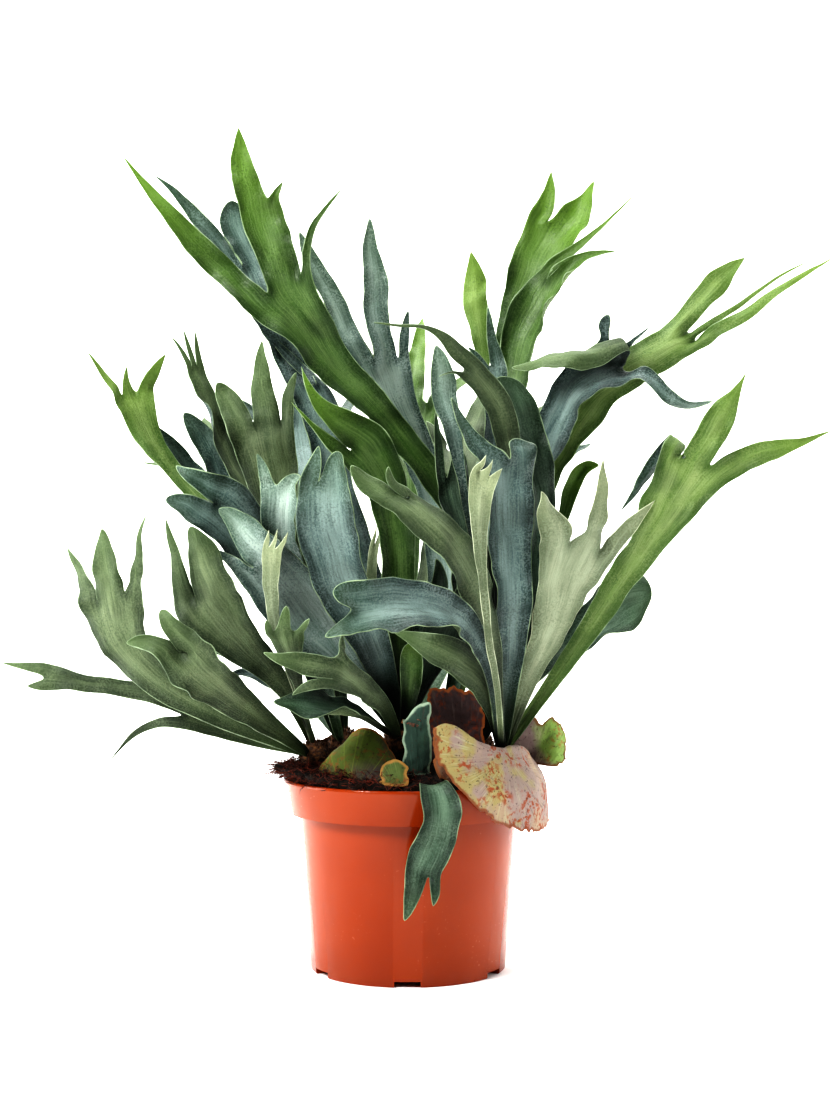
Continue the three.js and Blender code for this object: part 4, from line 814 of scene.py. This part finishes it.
def shape_leaf(piece, length, hollow, seed):
    """Gives the blade its trough, its lengthwise ribs and its waved margin."""
    mesh = piece.data
    edge = margin_distances(mesh)
    half_width = read(mesh, "half_width")
    uv = mesh.uv_layers["grain"].data
    grain = [(0.0, 0.0)] * len(mesh.vertices)
    for loop in mesh.loops:
        grain[loop.vertex_index] = tuple(uv[loop.index].uv)
    moved = []
    for at, vert in enumerate(mesh.vertices):
        across, along = grain[at]
        inside = min(1.0, edge[at] / max(half_width[at], THINNEST_HALF * MM))
        trough = -hollow * min(half_width[at], WIDEST_HALF * MM) * (1 - (1 - inside) ** 2)
        ribs = noise.noise((across * RIBS_PER_COLUMN, along / (RIB_LENGTH * MM), seed))
        ribs *= RIB_RELIEF * MM * min(1.0, edge[at] / (RIB_RELIEF * RIB_FADE * MM))
        near_margin = max(0.0, 1 - edge[at] / (WAVED_BAND * MM)) ** 2
        blade = min(1.0, max(0.0, along / length * BLADE_GAIN - BLADE_START))
        blade *= min(1.0, STIFFEST + half_width[at] / (STIFF_BELOW * MM))
        place = vert.co / (WAVE_LENGTH * MM) + Vector((seed * LEAF_SHIFT, 0, 0))
        wave = layered_noise(place, *WAVE_LAYERS) * WAVE_HEIGHT * MM * near_margin * blade
        drift = noise.noise_vector(vert.co / (BROAD_DRIFT * MM)) * DRIFT * MM
        drift += noise.noise_vector(vert.co / (FINE_DRIFT * MM)) * DRIFT * FINE_SHARE * MM
        moved.append(vert.co + vert.normal * (trough + ribs + wave) + drift * min(1.0, blade + STALK_DRIFT))
    move_points(mesh, moved)
    store(mesh, "edge", edge)
    store(mesh, "growth", [along / length for across, along in grain])


def thicken(piece, edge_mm, thinnest=0.45):
    """Adds the back face. The margin is thinner than the middle, and the stalk is thickest."""
    values = read(piece.data, "thickness")
    edges = read(piece.data, "edge")
    full = max(values)
    group = piece.vertex_groups.new(name="thick")
    for at, (value, edge) in enumerate(zip(values, edges)):
        taper = thinnest + (1 - thinnest) * min(1.0, edge / (edge_mm * MM))
        group.add([at], max(0.05, value * taper / full), "REPLACE")
    modify(piece, "SOLIDIFY", thickness=full, offset=-1, vertex_group="thick", thickness_vertex_group=0.0,
           material_offset=1, material_offset_rim=1, use_quality_normals=True)


# %% [markdown]
# A staghorn leaf is leathery. Its upper face is a dusky blue-green under a bloom of tiny
# star-shaped hairs, its lower face is pale olive felt, and a thin pale line runs along
# every margin. Veins run lengthwise and fork with the leaf, so the pattern follows the
# grain map, whose first number counts across the leaf and whose second runs along it.
# The bloom is rubbed off towards the margin, and painted shade at the margin and a painted
# highlight along the middle add to it, so a blade is palest along its middle.

# %% Leaf: the finishes
STREAK_LENGTH = 60
# Painted shade for the crowded places deep in the plant.
PAINTED_SHADE = "#0a120b"


def grain_streaks(tree, per_column, length_mm, detail):
    """Noise drawn out along the leaf. A column of the grain map is about 7 mm wide."""
    grain = add(tree, "UVMap", uv_map="grain")
    stretch = (per_column, 1 / (length_mm * MM), 1)
    drawn_out = add(tree, "Mapping", {"Vector": grain, "Scale": stretch})
    return add(tree, "TexNoise", {"Vector": drawn_out, "Scale": 1.0, "Detail": detail})


def leaf_material(name, deep, base, bloom, young, stalk, cover, tip=0.6, line="#93a484", roughness=0.42):
    # Leathery leaf: its wax gives broad soft highlights, and its star hairs a faint sheen.
    material, tree = new_material(name, Roughness=roughness, IOR=1.45, Specular_IOR_Level=0.36,
                                  Sheen_Weight=0.03, Sheen_Roughness=0.45)
    growth, edge, crowd = (add(tree, "Attribute", out="Fac", attribute_name=kept)
                           for kept in ("growth", "edge", "crowd"))
    blade = {"Value": edge, "From Min": 0.4 * MM, "From Max": 12 * MM}
    middle = add(tree, "MapRange", blade, interpolation_type="SMOOTHSTEP")
    # Painted shade darkens the margin, and bloom with a painted highlight lightens the middle,
    # with bands of 6 mm and veins of 1 mm on it.
    bands = grain_streaks(tree, 0.9, STREAK_LENGTH, 1.0)
    veins = grain_streaks(tree, 9.0, STREAK_LENGTH * 0.45, 4.0)
    colour = coat(tree, deep, base, (spots(tree, 16), 0.26, 0.56))
    # Painted shade at the margin, then bloom that is partly a painted highlight towards the middle.
    colour = coat(tree, colour, deep, (middle, 0, 1, 0.75, 0))
    colour = coat(tree, colour, bloom, (edge, 0.4 * MM, 12 * MM), (bands, 0.10, 0.74, 0, cover))
    colour = coat(tree, colour, bloom, (veins, 0.46, 0.70), (middle, 0, 1, 0.14, 0.30))
    colour = coat(tree, colour, deep, (veins, 0.30, 0.50, 0.34, 0))
    # The bloom is rubbed into patches of about 8 mm and broken into specks under 1 mm.
    patches = (spots(tree, 8), 0.42, 0.62, 0.35, 1)
    fine = spots(tree, 0.6, 2)
    colour = coat(tree, colour, bloom, patches, (fine, 0.44, 0.58, 0, cover * 0.45))
    # Young tissue at the tips is fresher, and stalks are greener and smoother.
    colour = coat(tree, colour, young, (growth, 0.70, 1.06, 0, tip))
    colour = coat(tree, colour, stalk, (growth, 0.02, 0.30, 0.5, 0))
    # Dark freckles gather in patches, the margin has its pale line, and crowded places get
    # painted shade.
    colour = coat(tree, colour, deep, (spots(tree, 0.7, 2), 0.52, 0.66),
                  (spots(tree, 14, 2), 0.42, 0.62, 0, 0.32))
    colour = coat(tree, colour, line, (edge, 0.2 * MM, 0.6 * MM, 0.85, 0), patches)
    colour = coat(tree, colour, PAINTED_SHADE, (crowd, 0.15, 0.58, 0, 0.93))
    grains = {"Value": fine, "From Min": 0.44, "From Max": 0.58}
    specks = add(tree, "MapRange", grains, interpolation_type="SMOOTHSTEP")
    relief = weighted(tree, (bands, 1.0), (veins, 0.9), (specks, 0.22))
    put_on(tree, colour, relief, depth_mm=0.5, strength=0.8)
    return material


# Each face is given by its deep, base, bloom, young and stalk colours and the bloom's cover.
LEAF_FACES = {
    "dusky": leaf_material("dusky_upper_leaf", "#182522", "#3d5250", "#8b9c96", "#5b7754", "#4c6842", 0.70,
                           tip=0.35),
    # A darker, greener copy of the dusky face with shade painted in, for leaves deep in the plant.
    "shaded": leaf_material("shaded_upper_leaf", "#152219", "#364d3c", "#7a8e7a", "#57714c", "#445c3c", 0.55,
                            tip=0.35),
    "silver": leaf_material("silvered_upper_leaf", "#2c403a", "#637b73", "#b4c1b9", "#7d9272", "#66804f", 0.8,
                            tip=0.35),
    "olive": leaf_material("felted_under_leaf", "#273322", "#4d5b40", "#7c8769", "#657a4e", "#52653c", 0.5,
                           roughness=0.55),
    "bright": leaf_material("fresh_upper_leaf", "#1d3212", "#395522", "#7c9160", "#7a9b3e", "#40592f", 0.36),
    "fresh": leaf_material("fresh_under_leaf", "#3c5426", "#627a40", "#98a576", "#86a04e", "#70854f", 0.45,
                           roughness=0.5),
    "pale": leaf_material("downy_pale_leaf", "#57624a", "#78826a", "#9da48c", "#9aa27f", "#6a7a50", 0.7,
                          line="#cdd1b6", roughness=0.55),
}
print("leaf faces:", ", ".join(LEAF_FACES))

# %% [markdown]
# Each frond names the finish of the face that it turns to the front and of the face
# behind it. Some blades twist, so the front shows the pale underside on many of them.

# %% Fronds
FACE_PAIRS = {
    "upper": ("dusky", "olive"),
    "under": ("olive", "dusky"),
    "shaded": ("shaded", "olive"),
    "silver": ("silver", "olive"),
    "fresh": ("bright", "fresh"),
    "fresh_under": ("fresh", "bright"),
    "fresh_dusky": ("fresh", "dusky"),
    "pale": ("pale", "silver"),
}
UPPER_IN_FRONT = ("upper", "shaded", "silver", "fresh")
HOLLOW = 0.22
HOLLOW_BEHIND = -0.7
SHARP_TIPPED = ("fresh", "fresh_under", "fresh_dusky", "pale")
OLD_TIP_CREASE = 0.3
LOOKS = {
    "upper": "belly bloom_left claw dusky_front dusky_middle dusky_upright far_left "
             "oval_pair over_right rear_1 rear_4",
    # Leaves deep in the plant take the face with painted shade.
    "shaded": "dusky_inner flat_dark hanging inner_broad round_dark shadow_front",
    "under": "curled_ribbon lobed_small low narrow_toothed olive_broad olive_tall sage_arch spoon stag_grey "
             "under_belly wing rear_2 rear_5",
    "silver": "silver_fold pale_leaf dusky_tall bloom_broad",
    "fresh": "bright_channel bright_middle bright_tall bright_upright pale_top young_hook rear_3",
    "fresh_under": "antler_left teardrop",
    "fresh_dusky": "bright_right long_right",
    "pale": "cream_young pale_right toothed_young twin_young",
}


LOOK_OF = {short_name: look for look, names in LOOKS.items() for short_name in names.split()}


def frame_slot(node_name):
    return next(part["material_slot"] for part in frame["record"]["subparts"] if part["node"] == node_name)


def make_frond(node_name, seed):
    short_name = node_name.replace("frond_", "")
    look = LOOK_OF[short_name]
    tip_crease = 1.0 if look in SHARP_TIPPED else OLD_TIP_CREASE
    piece, length = subdivided_sheet(node_name, short_name + "_leaf", tip_crease)
    for face in FACE_PAIRS[look]:
        piece.data.materials.append(LEAF_FACES[face])
    hollow = HOLLOW if look in UPPER_IN_FRONT else HOLLOW * HOLLOW_BEHIND
    shape_leaf(piece, length, hollow, seed)
    thicken(piece, edge_mm=5)
    finish_piece(piece, frame_slot(node_name), node_name)


for seed, node_name in enumerate(frond_names):
    make_frond(node_name, seed)
print("fronds:", len(frond_names))

# %% [markdown]
# Shield fronds are the plant's second kind of leaf. They are round, thin and soon die to
# brown paper that hugs the roots. Their solids are sheets too, so the same front face is
# kept, but here squares come from joining triangles, as no rows need to be followed.
# A dry leaf tears, so the margin is pulled in by noise, and the paper buckles a little.

# %% Shields: form
SHIELD_SOFTENING = 12
TEAR_BAND = 2.2
TEAR_LAYERS = ((0.55, 2.7),)
TEAR_BIAS = 0.12
PAPER_RELIEF = 1.3
PAPER_BUCKLE = 16
BUCKLE_LAYERS = ((0.45, 2.3), (0.2, 5.1))
PAPER_SHIFT = 5.3
HELD_EDGE = 6
HELD_SHARE = 0.35
ABOVE_RIM = 6
JOIN_BEND = 1.2
JOIN_SKEW = 1.6


def inward_ways(mesh):
    """For each margin vertex, the way to the inside of the sheet."""
    counts = face_counts(mesh)
    rim = {at for key, count in counts.items() if count == 1 for at in key}
    ways = {at: Vector() for at in rim}
    for a, b in counts:
        if a in rim and b not in rim:
            ways[a] += mesh.vertices[b].co - mesh.vertices[a].co
        if b in rim and a not in rim:
            ways[b] += mesh.vertices[a].co - mesh.vertices[b].co
    return {at: way.normalized() for at, way in ways.items()}


def tear_margin(mesh, edge, depth_mm, tear_mm, lowest_mm):
    """Pulls the margin in where noise says so, and what lies just inside it a little less."""
    ways = inward_ways(mesh)
    rim = list(ways)
    tree = search_tree([mesh.vertices[at].co for at in rim])
    reach = depth_mm * MM * TEAR_BAND
    places = [vert.co.copy() for vert in mesh.vertices]
    for vert in mesh.vertices:
        if edge[vert.index] <= reach and vert.co.z >= lowest_mm * MM:
            rim_at = rim[tree.find(vert.co)[1]]
            place = mesh.vertices[rim_at].co / (tear_mm * MM)
            bite = max(0.0, layered_noise(place, *TEAR_LAYERS) + TEAR_BIAS)
            places[vert.index] += ways[rim_at] * bite * depth_mm * MM * (1 - edge[vert.index] / reach)
    move_points(mesh, places)


def buckle(mesh, edge, seed):
    moved = []
    for vert in mesh.vertices:
        place = vert.co / (PAPER_BUCKLE * MM) + Vector((seed * PAPER_SHIFT, 0, 0))
        free = min(1.0, HELD_SHARE + edge[vert.index] / (HELD_EDGE * MM))
        swing = layered_noise(place, *BUCKLE_LAYERS)
        moved.append(vert.co + vert.normal * swing * PAPER_RELIEF * MM * free)
    move_points(mesh, moved)


def make_shield(node_name, materials, seed, tear):
    bm, back_tree = front_sheet(node_name)
    thickness = bm.verts.layers.float.new("thickness")
    for vert in bm.verts:
        vert[thickness] = thickness_at(vert, back_tree)
    bmesh.ops.join_triangles(bm, faces=bm.faces, angle_face_threshold=JOIN_BEND,
                             angle_shape_threshold=JOIN_SKEW)
    name = node_name.replace("shield_", "") + "_shield"
    piece = piece_from(mesh_from(bm, name), name, *materials)
    modify(piece, "SUBSURF", levels=SUBDIVISIONS + 1, render_levels=SUBDIVISIONS + 1)
    modify(piece, "SMOOTH", factor=0.5, iterations=SHIELD_SOFTENING)
    apply_modifiers(piece)
    mesh = piece.data
    edge = margin_distances(mesh)
    # The apron hangs outside the pot and may tear anywhere. The others stand in the compost.
    lowest = 0 if node_name == "shield_apron" else POT_HEIGHT + ABOVE_RIM
    tear_margin(mesh, edge, *tear, lowest)
    buckle(mesh, edge, seed)
    store(mesh, "edge", margin_distances(mesh))
    thicken(piece, edge_mm=4, thinnest=0.35)
    finish_piece(piece, frame_slot(node_name), node_name)


# %% [markdown]
# Dead shield fronds keep their veins as a fan of pale lines from the bud that they grew
# on. The paper between them goes from ochre through mauve-grey to rust, and the torn
# margin is tan. A living shield is olive green with the same brown margin.

# %% Shields: the finishes
VEIN_FAN = 26.0
FAN_RUN = 60.0
OCHRE = "#948a5a"
VEIN_GAP = "#4a3a33"
RUST = "#8a4220"
MOULD = "#3a2a22"


def fan_streaks(tree, centre_mm):
    """Streaks that run outwards from a point on the x and z plane."""
    place = add(tree, "TexCoord", out="Object")
    centre = [value * MM for value in centre_mm]
    away = add(tree, "VectorMath", {0: place, 1: centre}, operation="SUBTRACT")
    x, z = (add(tree, "SeparateXYZ", {"Vector": away}, axis) for axis in "XZ")
    angle = add(tree, "Math", {0: x, 1: z}, operation="ARCTAN2")
    distance = add(tree, "VectorMath", {0: away}, "Value", operation="LENGTH")
    spread = {"X": weighted(tree, (angle, VEIN_FAN)), "Y": weighted(tree, (distance, FAN_RUN))}
    fan = add(tree, "CombineXYZ", spread)
    return add(tree, "TexNoise", {"Vector": fan, "Scale": 1.0, "Detail": 4.0})


def paper_material(name, base, patch, vein, margin, centre_mm, patch_cover=0.5, ochre_left_of=None,
                   rust=0.6, islands=()):
    # Dry leaf tissue: it is as matt as brown paper and shows no highlight.
    material, tree = new_material(name, Roughness=0.78)
    place = add(tree, "TexCoord", out="Object")
    edge = add(tree, "Attribute", out="Fac", attribute_name="edge")
    # Broad patches of about 25 mm of one dry colour in another.
    more = patch_cover * 0.3
    colour = coat(tree, base, patch, (spots(tree, 13, 4), 0.62 - more, 0.8 - more))
    if ochre_left_of:
        x = add(tree, "SeparateXYZ", {"Vector": place}, "X")
        side = weighted(tree, (x, 1), (spots(tree, 9, 5), 0.16))
        start, stop = (ochre_left_of + 72) * MM, (ochre_left_of + 94) * MM
        colour = coat(tree, colour, OCHRE, (side, start, stop, 0.85, 0))
    for middle_mm, size_mm, island_colour in islands:
        middle = [value * MM for value in middle_mm]
        away = add(tree, "VectorMath", {0: place, 1: middle}, "Value", operation="DISTANCE")
        ragged = weighted(tree, (away, 1), (spots(tree, 7, 4), -0.022))
        colour = coat(tree, colour, island_colour, (ragged, (size_mm - 18) * MM, (size_mm - 5) * MM, 0.85, 0))
    veins = fan_streaks(tree, centre_mm)
    colour = coat(tree, colour, vein, (veins, 0.54, 0.72, 0, 0.45))
    colour = coat(tree, colour, VEIN_GAP, (veins, 0.30, 0.42, 0.35, 0))
    # Rust breaks out in flecks of 2 mm that crowd together, and mould in specks of 1 mm.
    colour = coat(tree, colour, RUST, (spots(tree, 10), 0.44, 0.6), (spots(tree, 1.6, 4), 0.48, 0.6, 0, rust))
    colour = coat(tree, colour, MOULD, (spots(tree, 0.9), 0.6, 0.7, 0, 0.6))
    frayed = weighted(tree, (edge, 1), (spots(tree, 2.5), -3 * MM))
    colour = coat(tree, colour, margin, (frayed, -0.6 * MM, 1 * MM, 0.85, 0))
    put_on(tree, colour, weighted(tree, (veins, 1), (spots(tree, 1.2), 0.6)), depth_mm=0.5, strength=0.8)
    return material


# Each paper is given by its base, patch, vein and margin colours and where its veins meet.
RIGHT_BUD = (66, -26, 148)
APRON_ISLANDS = [
    ((72, -100, 100), 17, "#9a8e58"), ((58, -103, 118), 13, "#a39a66"),
    ((94, -88, 98), 17, "#8f6650"), ((84, -84, 128), 15, "#877672"),
]
apron_paper = paper_material("dry_shield_paper", "#8f7f77", "#9b8873", "#a8ad8f", "#7a4022", RIGHT_BUD,
                             ochre_left_of=47, rust=0.9, islands=APRON_ISLANDS)
wall_paper = paper_material("dark_shield_paper", "#4d3b3a", "#5d4644", "#75655a", "#a8642f", (40, -20, 120))
side_paper = paper_material("mauve_shield_paper", "#756561", "#857570", "#9a9b78", "#6d4a2c", (80, 0, 120),
                            islands=[((108, -10, 158), 22, "#7d9a4c")])
back_paper = paper_material("brown_shield_paper", "#6b5242", "#85694f", "#9b8a68", "#a06a3c", (0, 0, 110),
                            patch_cover=0.8)
under_paper = paper_material("shield_paper_back", "#6e5546", "#7d6450", "#94825f", "#8c5a34", (0, 0, 120),
                             rust=0.3)
dome_leaf = paper_material("living_shield_leaf", "#566227", "#4a3f33", "#8a9440", "#8a5a2c", (-40, -30, 120),
                           patch_cover=0.3, rust=0.5, islands=[((-20, -70, 134), 16, "#4b3d40")])
fold_leaf = paper_material("green_fold_leaf", "#34493f", "#45604f", "#587563", "#9fb09a", (5, -60, 120),
                           patch_cover=0.4, rust=0.0)
cup_leaf = paper_material("small_cup_leaf", "#4d5a2c", "#5c5a34", "#868a52", "#9a743f", (-2, -78, 125),
                          patch_cover=0.6)

# %% Shields: put together
LOBED_TEAR = (6.0, 21.0)
FRAYED_TEAR = (3.0, 7.0)
SHIELD_FACES = {
    "shield_apron": apron_paper,
    "shield_dark_wall": wall_paper,
    "shield_right_wall": side_paper,
    "shield_green_fold": fold_leaf,
    "shield_left_dome": dome_leaf,
    "shield_small_cup": cup_leaf,
    "shield_back_left": back_paper,
    "shield_back_right": back_paper,
}
for seed, (node_name, material) in enumerate(SHIELD_FACES.items()):
    tear = LOBED_TEAR if node_name == "shield_green_fold" else FRAYED_TEAR
    make_shield(node_name, [material, under_paper], seed, tear)
print("shields:", len(SHIELD_FACES))

# %% [markdown]
# The rhizome is the creeping stem, and its knobs are the buds. Its solid is coarse, and
# subdividing would shrink it. So a fine even mesh is laid over a copy of the solid, which
# keeps its place and size, and noise then roughens it.

# %% Rhizome: the knobs
KNOB_VOXEL = 1.1
REMESH_SOFTENING = 6
CRUMB_LAYERS = ((0.5, 2.2), (0.25, 4.7))


def remeshed_copy(node_name, name, material, voxel_mm):
    piece = piece_from(mesh_from(merged_solid(node_name), name), name, material)
    modify(piece, "REMESH", mode="VOXEL", voxel_size=voxel_mm * MM, use_smooth_shade=True)
    modify(piece, "SMOOTH", factor=0.5, iterations=REMESH_SOFTENING)
    apply_modifiers(piece)
    return piece


def roughen(mesh, relief_mm, size_mm, above_mm=0):
    moved = []
    for vert in mesh.vertices:
        swing = layered_noise(vert.co / (size_mm * MM), *CRUMB_LAYERS)
        lift = swing * relief_mm * MM if vert.co.z > above_mm * MM else 0
        moved.append(vert.co + vert.normal * lift)
    move_points(mesh, moved)


def fur_material():
    # Rusty scales over a dark woody stem, dull as felt.
    material, tree = new_material("rusty_bud_scales", Roughness=0.9)
    tone = spots(tree, 1.4, 4)
    colour = shades(tree, tone, (0.32, "#1d120b"), (0.5, "#442a17"), (0.7, "#6f4d2b"))
    put_on(tree, colour, tone, depth_mm=0.8)
    return material


rusty = fur_material()
rhizome = remeshed_copy("rhizome", "rhizome_knobs", rusty, KNOB_VOXEL)
roughen(rhizome.data, 0.8, 4)
finish_piece(rhizome, "furry_bud", "rhizome")
print("rhizome faces:", len(rhizome.data.polygons))

# %% [markdown]
# Many small things of one kind are made from a few shapes. Each shape is modelled once,
# and its copies are laid out by a list of placements into a single mesh.

# %% Scattering


def scatter(name, shapes, placements, material):
    """One mesh with a copy of a shape at each placement, given as (which shape, matrix)."""
    corners, faces = [], []
    for which, matrix in placements:
        shape = shapes[which % len(shapes)]
        start = len(corners)
        corners.extend(matrix @ vert.co for vert in shape.vertices)
        faces.extend([start + at for at in polygon.vertices] for polygon in shape.polygons)
    mesh = bpy.data.meshes.new(name)
    mesh.from_pydata(corners, [], faces)
    return piece_from(mesh, name, material)


NARROWING = 0.82
TIP_NARROWING = 0.35
SWAYS = 2.2


def strand_shape(name, length_mm, width_mm, steps, bend_mm, seed, sides=4):
    """A tapering strand along +Z that bends by noise."""
    bm = bmesh.new()
    ring = bmesh.ops.create_circle(bm, cap_ends=True, segments=sides, radius=width_mm * MM / 2)["verts"]
    face = ring[0].link_faces[0]
    for step in range(1, steps + 1):
        moved = bmesh.ops.extrude_face_region(bm, geom=[face])["geom"]
        bmesh.ops.delete(bm, geom=[face], context="FACES_ONLY")
        ring = [item for item in moved if isinstance(item, bmesh.types.BMVert)]
        face = next(item for item in moved if isinstance(item, bmesh.types.BMFace))
        share = step / steps
        sway_x, sway_y = (noise.noise((seed, share * SWAYS, layer)) for layer in (0, 9))
        sway = Vector((sway_x, sway_y, 0)) * bend_mm * MM
        aim = Vector((0, 0, share * length_mm * MM)) + sway * share
        bmesh.ops.translate(bm, verts=ring, vec=aim - face.calc_center_median())
        narrow = NARROWING if step < steps else TIP_NARROWING
        bmesh.ops.scale(bm, verts=ring, vec=(narrow,) * 3, space=Matrix.Translation(-aim))
    bmesh.ops.recalc_face_normals(bm, faces=bm.faces)
    return mesh_from(bm, name)


def turned(place, direction, spin, size=1.0):
    aim = direction.to_track_quat("Z", "Y").to_matrix().to_4x4()
    return Matrix.Translation(place) @ aim @ Matrix.Rotation(spin, 4, "Z") @ Matrix.Scale(size, 4)


def surface_spots(mesh, count, seed, keep):
    """Random places on a mesh, even by area, as (place, normal)."""
    draw = random.Random(seed)
    faces = [polygon for polygon in mesh.polygons if keep(polygon)]
    areas = [polygon.area for polygon in faces]
    found = []
    for polygon in draw.choices(faces, weights=areas, k=count):
        corners = [mesh.vertices[at].co for at in polygon.vertices]
        shares = [draw.random() for _ in corners]
        total = sum(shares)
        place = sum((corner * share / total for corner, share in zip(corners, shares)), Vector())
        found.append((place, polygon.normal))
    return found


# %% [markdown]
# The buds are wrapped in narrow rusty scales, as dense as fur. Hair curves would look
# finer, but a reusable part has to keep its scales as mesh, so a few bent scales are
# modelled and set on the upper side a few thousand times, each leaning its own way.

# %% Rhizome: the fur
SCALES = 2600
SCALE_LENGTH = 3.6
SCALE_WIDTH = 0.8
SCALE_BEND = 1.6
SCALE_SUNK = 0.4
FUR_FROM = 138


def is_bud(polygon):
    return polygon.center.z > FUR_FROM * MM


def make_fur():
    draw = random.Random(4)
    shapes = [strand_shape(f"scale_{at}", SCALE_LENGTH, SCALE_WIDTH, 2, SCALE_BEND, at, sides=3)
              for at in range(6)]
    placements = []
    for at, (place, normal) in enumerate(surface_spots(rhizome.data, SCALES, 11, is_bud)):
        lean = Vector((draw.uniform(-0.5, 0.5), draw.uniform(-0.5, 0.5), draw.uniform(0.3, 1.4)))
        spin = draw.uniform(0, 6.3)
        root = place - normal * (SCALE_SUNK * MM)
        placements.append((at, turned(root, normal * 0.8 + lean, spin, draw.uniform(0.5, 1.1))))
    fur = scatter("bud_fur", shapes, placements, rusty)
    finish_piece(fur, "furry_bud")
    print("fur scales:", len(placements))


make_fur()

# %% [markdown]
# The plant stands in dark, coarse compost that the roots hold together, and on the left a
# mat of it hangs over the rim. The solid has that form already, so an even mesh is laid
# over a copy of it, and its top is broken up by noise of several sizes. Coir and root
# fibres then stick out of it.

# %% Compost
COMPOST_VOXEL = 1.5


def compost_material():
    # Peat crumbs and bark chips, nearly black where damp and brown where dry.
    material, tree = new_material("peat_and_coir_compost", Roughness=0.95)
    crumbs = spots(tree, 1.6, 5)
    colour = shades(tree, crumbs, (0.35, "#0d0906"), (0.52, "#1b120b"), (0.7, "#37261a"))
    put_on(tree, colour, crumbs, depth_mm=1.4)
    return material


compost = remeshed_copy("root_ball", "compost", compost_material(), COMPOST_VOXEL)
roughen(compost.data, 2.2, 7, above_mm=POT_HEIGHT + 0.5)
finish_piece(compost, "compost", "root_ball")
print("compost faces:", len(compost.data.polygons))

# %% [markdown]
# Two kinds of fibre stick out of it: dark roots all over the top, and red coir in the mat
# over the rim. They are strands like the bud scales, only longer, and lie nearly flat,
# turned every way, as a fibre stands up only where something holds it.

# %% Fibres
TOP_FIBRES = 1300
MAT_FIBRES = 900
MAT_FROM = 165
MAT_TO = 275
MAT_START = 60
FACES_UP = 0.2
FIBRE_LENGTH = 13
FIBRE_WIDTH = 0.7
FIBRE_BEND = 9


def fibre_material(name, dark, light):
    # Dead roots and coir are dull, and their tone changes every few millimetres.
    material, tree = new_material(name, Roughness=0.85)
    put_on(tree, shades(tree, spots(tree, 3), (0.35, dark), (0.65, light)))
    return material


def is_top(polygon):
    return polygon.center.z > (POT_HEIGHT - 1) * MM and polygon.normal.z > FACES_UP


def is_mat(polygon):
    """Whether a face of the compost is on the root mat along the left and front of the rim."""
    x, y, z = polygon.center
    bearing = math.degrees(math.atan2(y, x)) % 360
    return z > (POT_HEIGHT + 1) * MM and math.hypot(x, y) > MAT_START * MM and MAT_FROM < bearing < MAT_TO


def lay_fibres(name, shapes, count, keep, seed, sizes, rise, material):
    draw = random.Random(seed)
    placements = []
    for at, (place, normal) in enumerate(surface_spots(compost.data, count, seed, keep)):
        turn = draw.uniform(0, math.tau)
        way = Vector((math.cos(turn), math.sin(turn), 0)) + normal * draw.uniform(*rise)
        placements.append((at, turned(place, way, draw.uniform(0, math.tau), draw.uniform(*sizes))))
    fibres = scatter(name, shapes, placements, material)
    finish_piece(fibres, "compost")
    print(name, len(placements))


fibre_shapes = [strand_shape(f"fibre_{at}", FIBRE_LENGTH, FIBRE_WIDTH, 5, FIBRE_BEND, at * 3.7)
                for at in range(12)]
lay_fibres("peat_fibres", fibre_shapes, TOP_FIBRES, is_top, 5, (0.4, 1.1), (0.0, 0.5),
           fibre_material("dark_root_fibre", "#0c0705", "#2a1a0e"))
lay_fibres("coir_fibres", fibre_shapes, MAT_FIBRES, is_mat, 21, (0.5, 1.2), (-0.1, 0.6),
           fibre_material("red_coir_fibre", "#1a0c07", "#70301a"))

# %% [markdown]
# The last look is at the numbers: how many triangles the added pieces have, in all and
# for the largest, which tells how light they are to move about.

# %% Count the triangles


def triangles(piece):
    shown = piece.evaluated_get(bpy.context.evaluated_depsgraph_get()).to_mesh()
    return sum(len(polygon.vertices) - 2 for polygon in shown.polygons)


added = [item for item in bpy.data.objects if item.type == "MESH" and item is not floor
         and item not in frame["nodes"].values()]
counts = sorted((triangles(item), item.name) for item in added)
print("pieces:", len(counts), "triangles:", sum(count for count, name in counts), "largest:", counts[-4:])
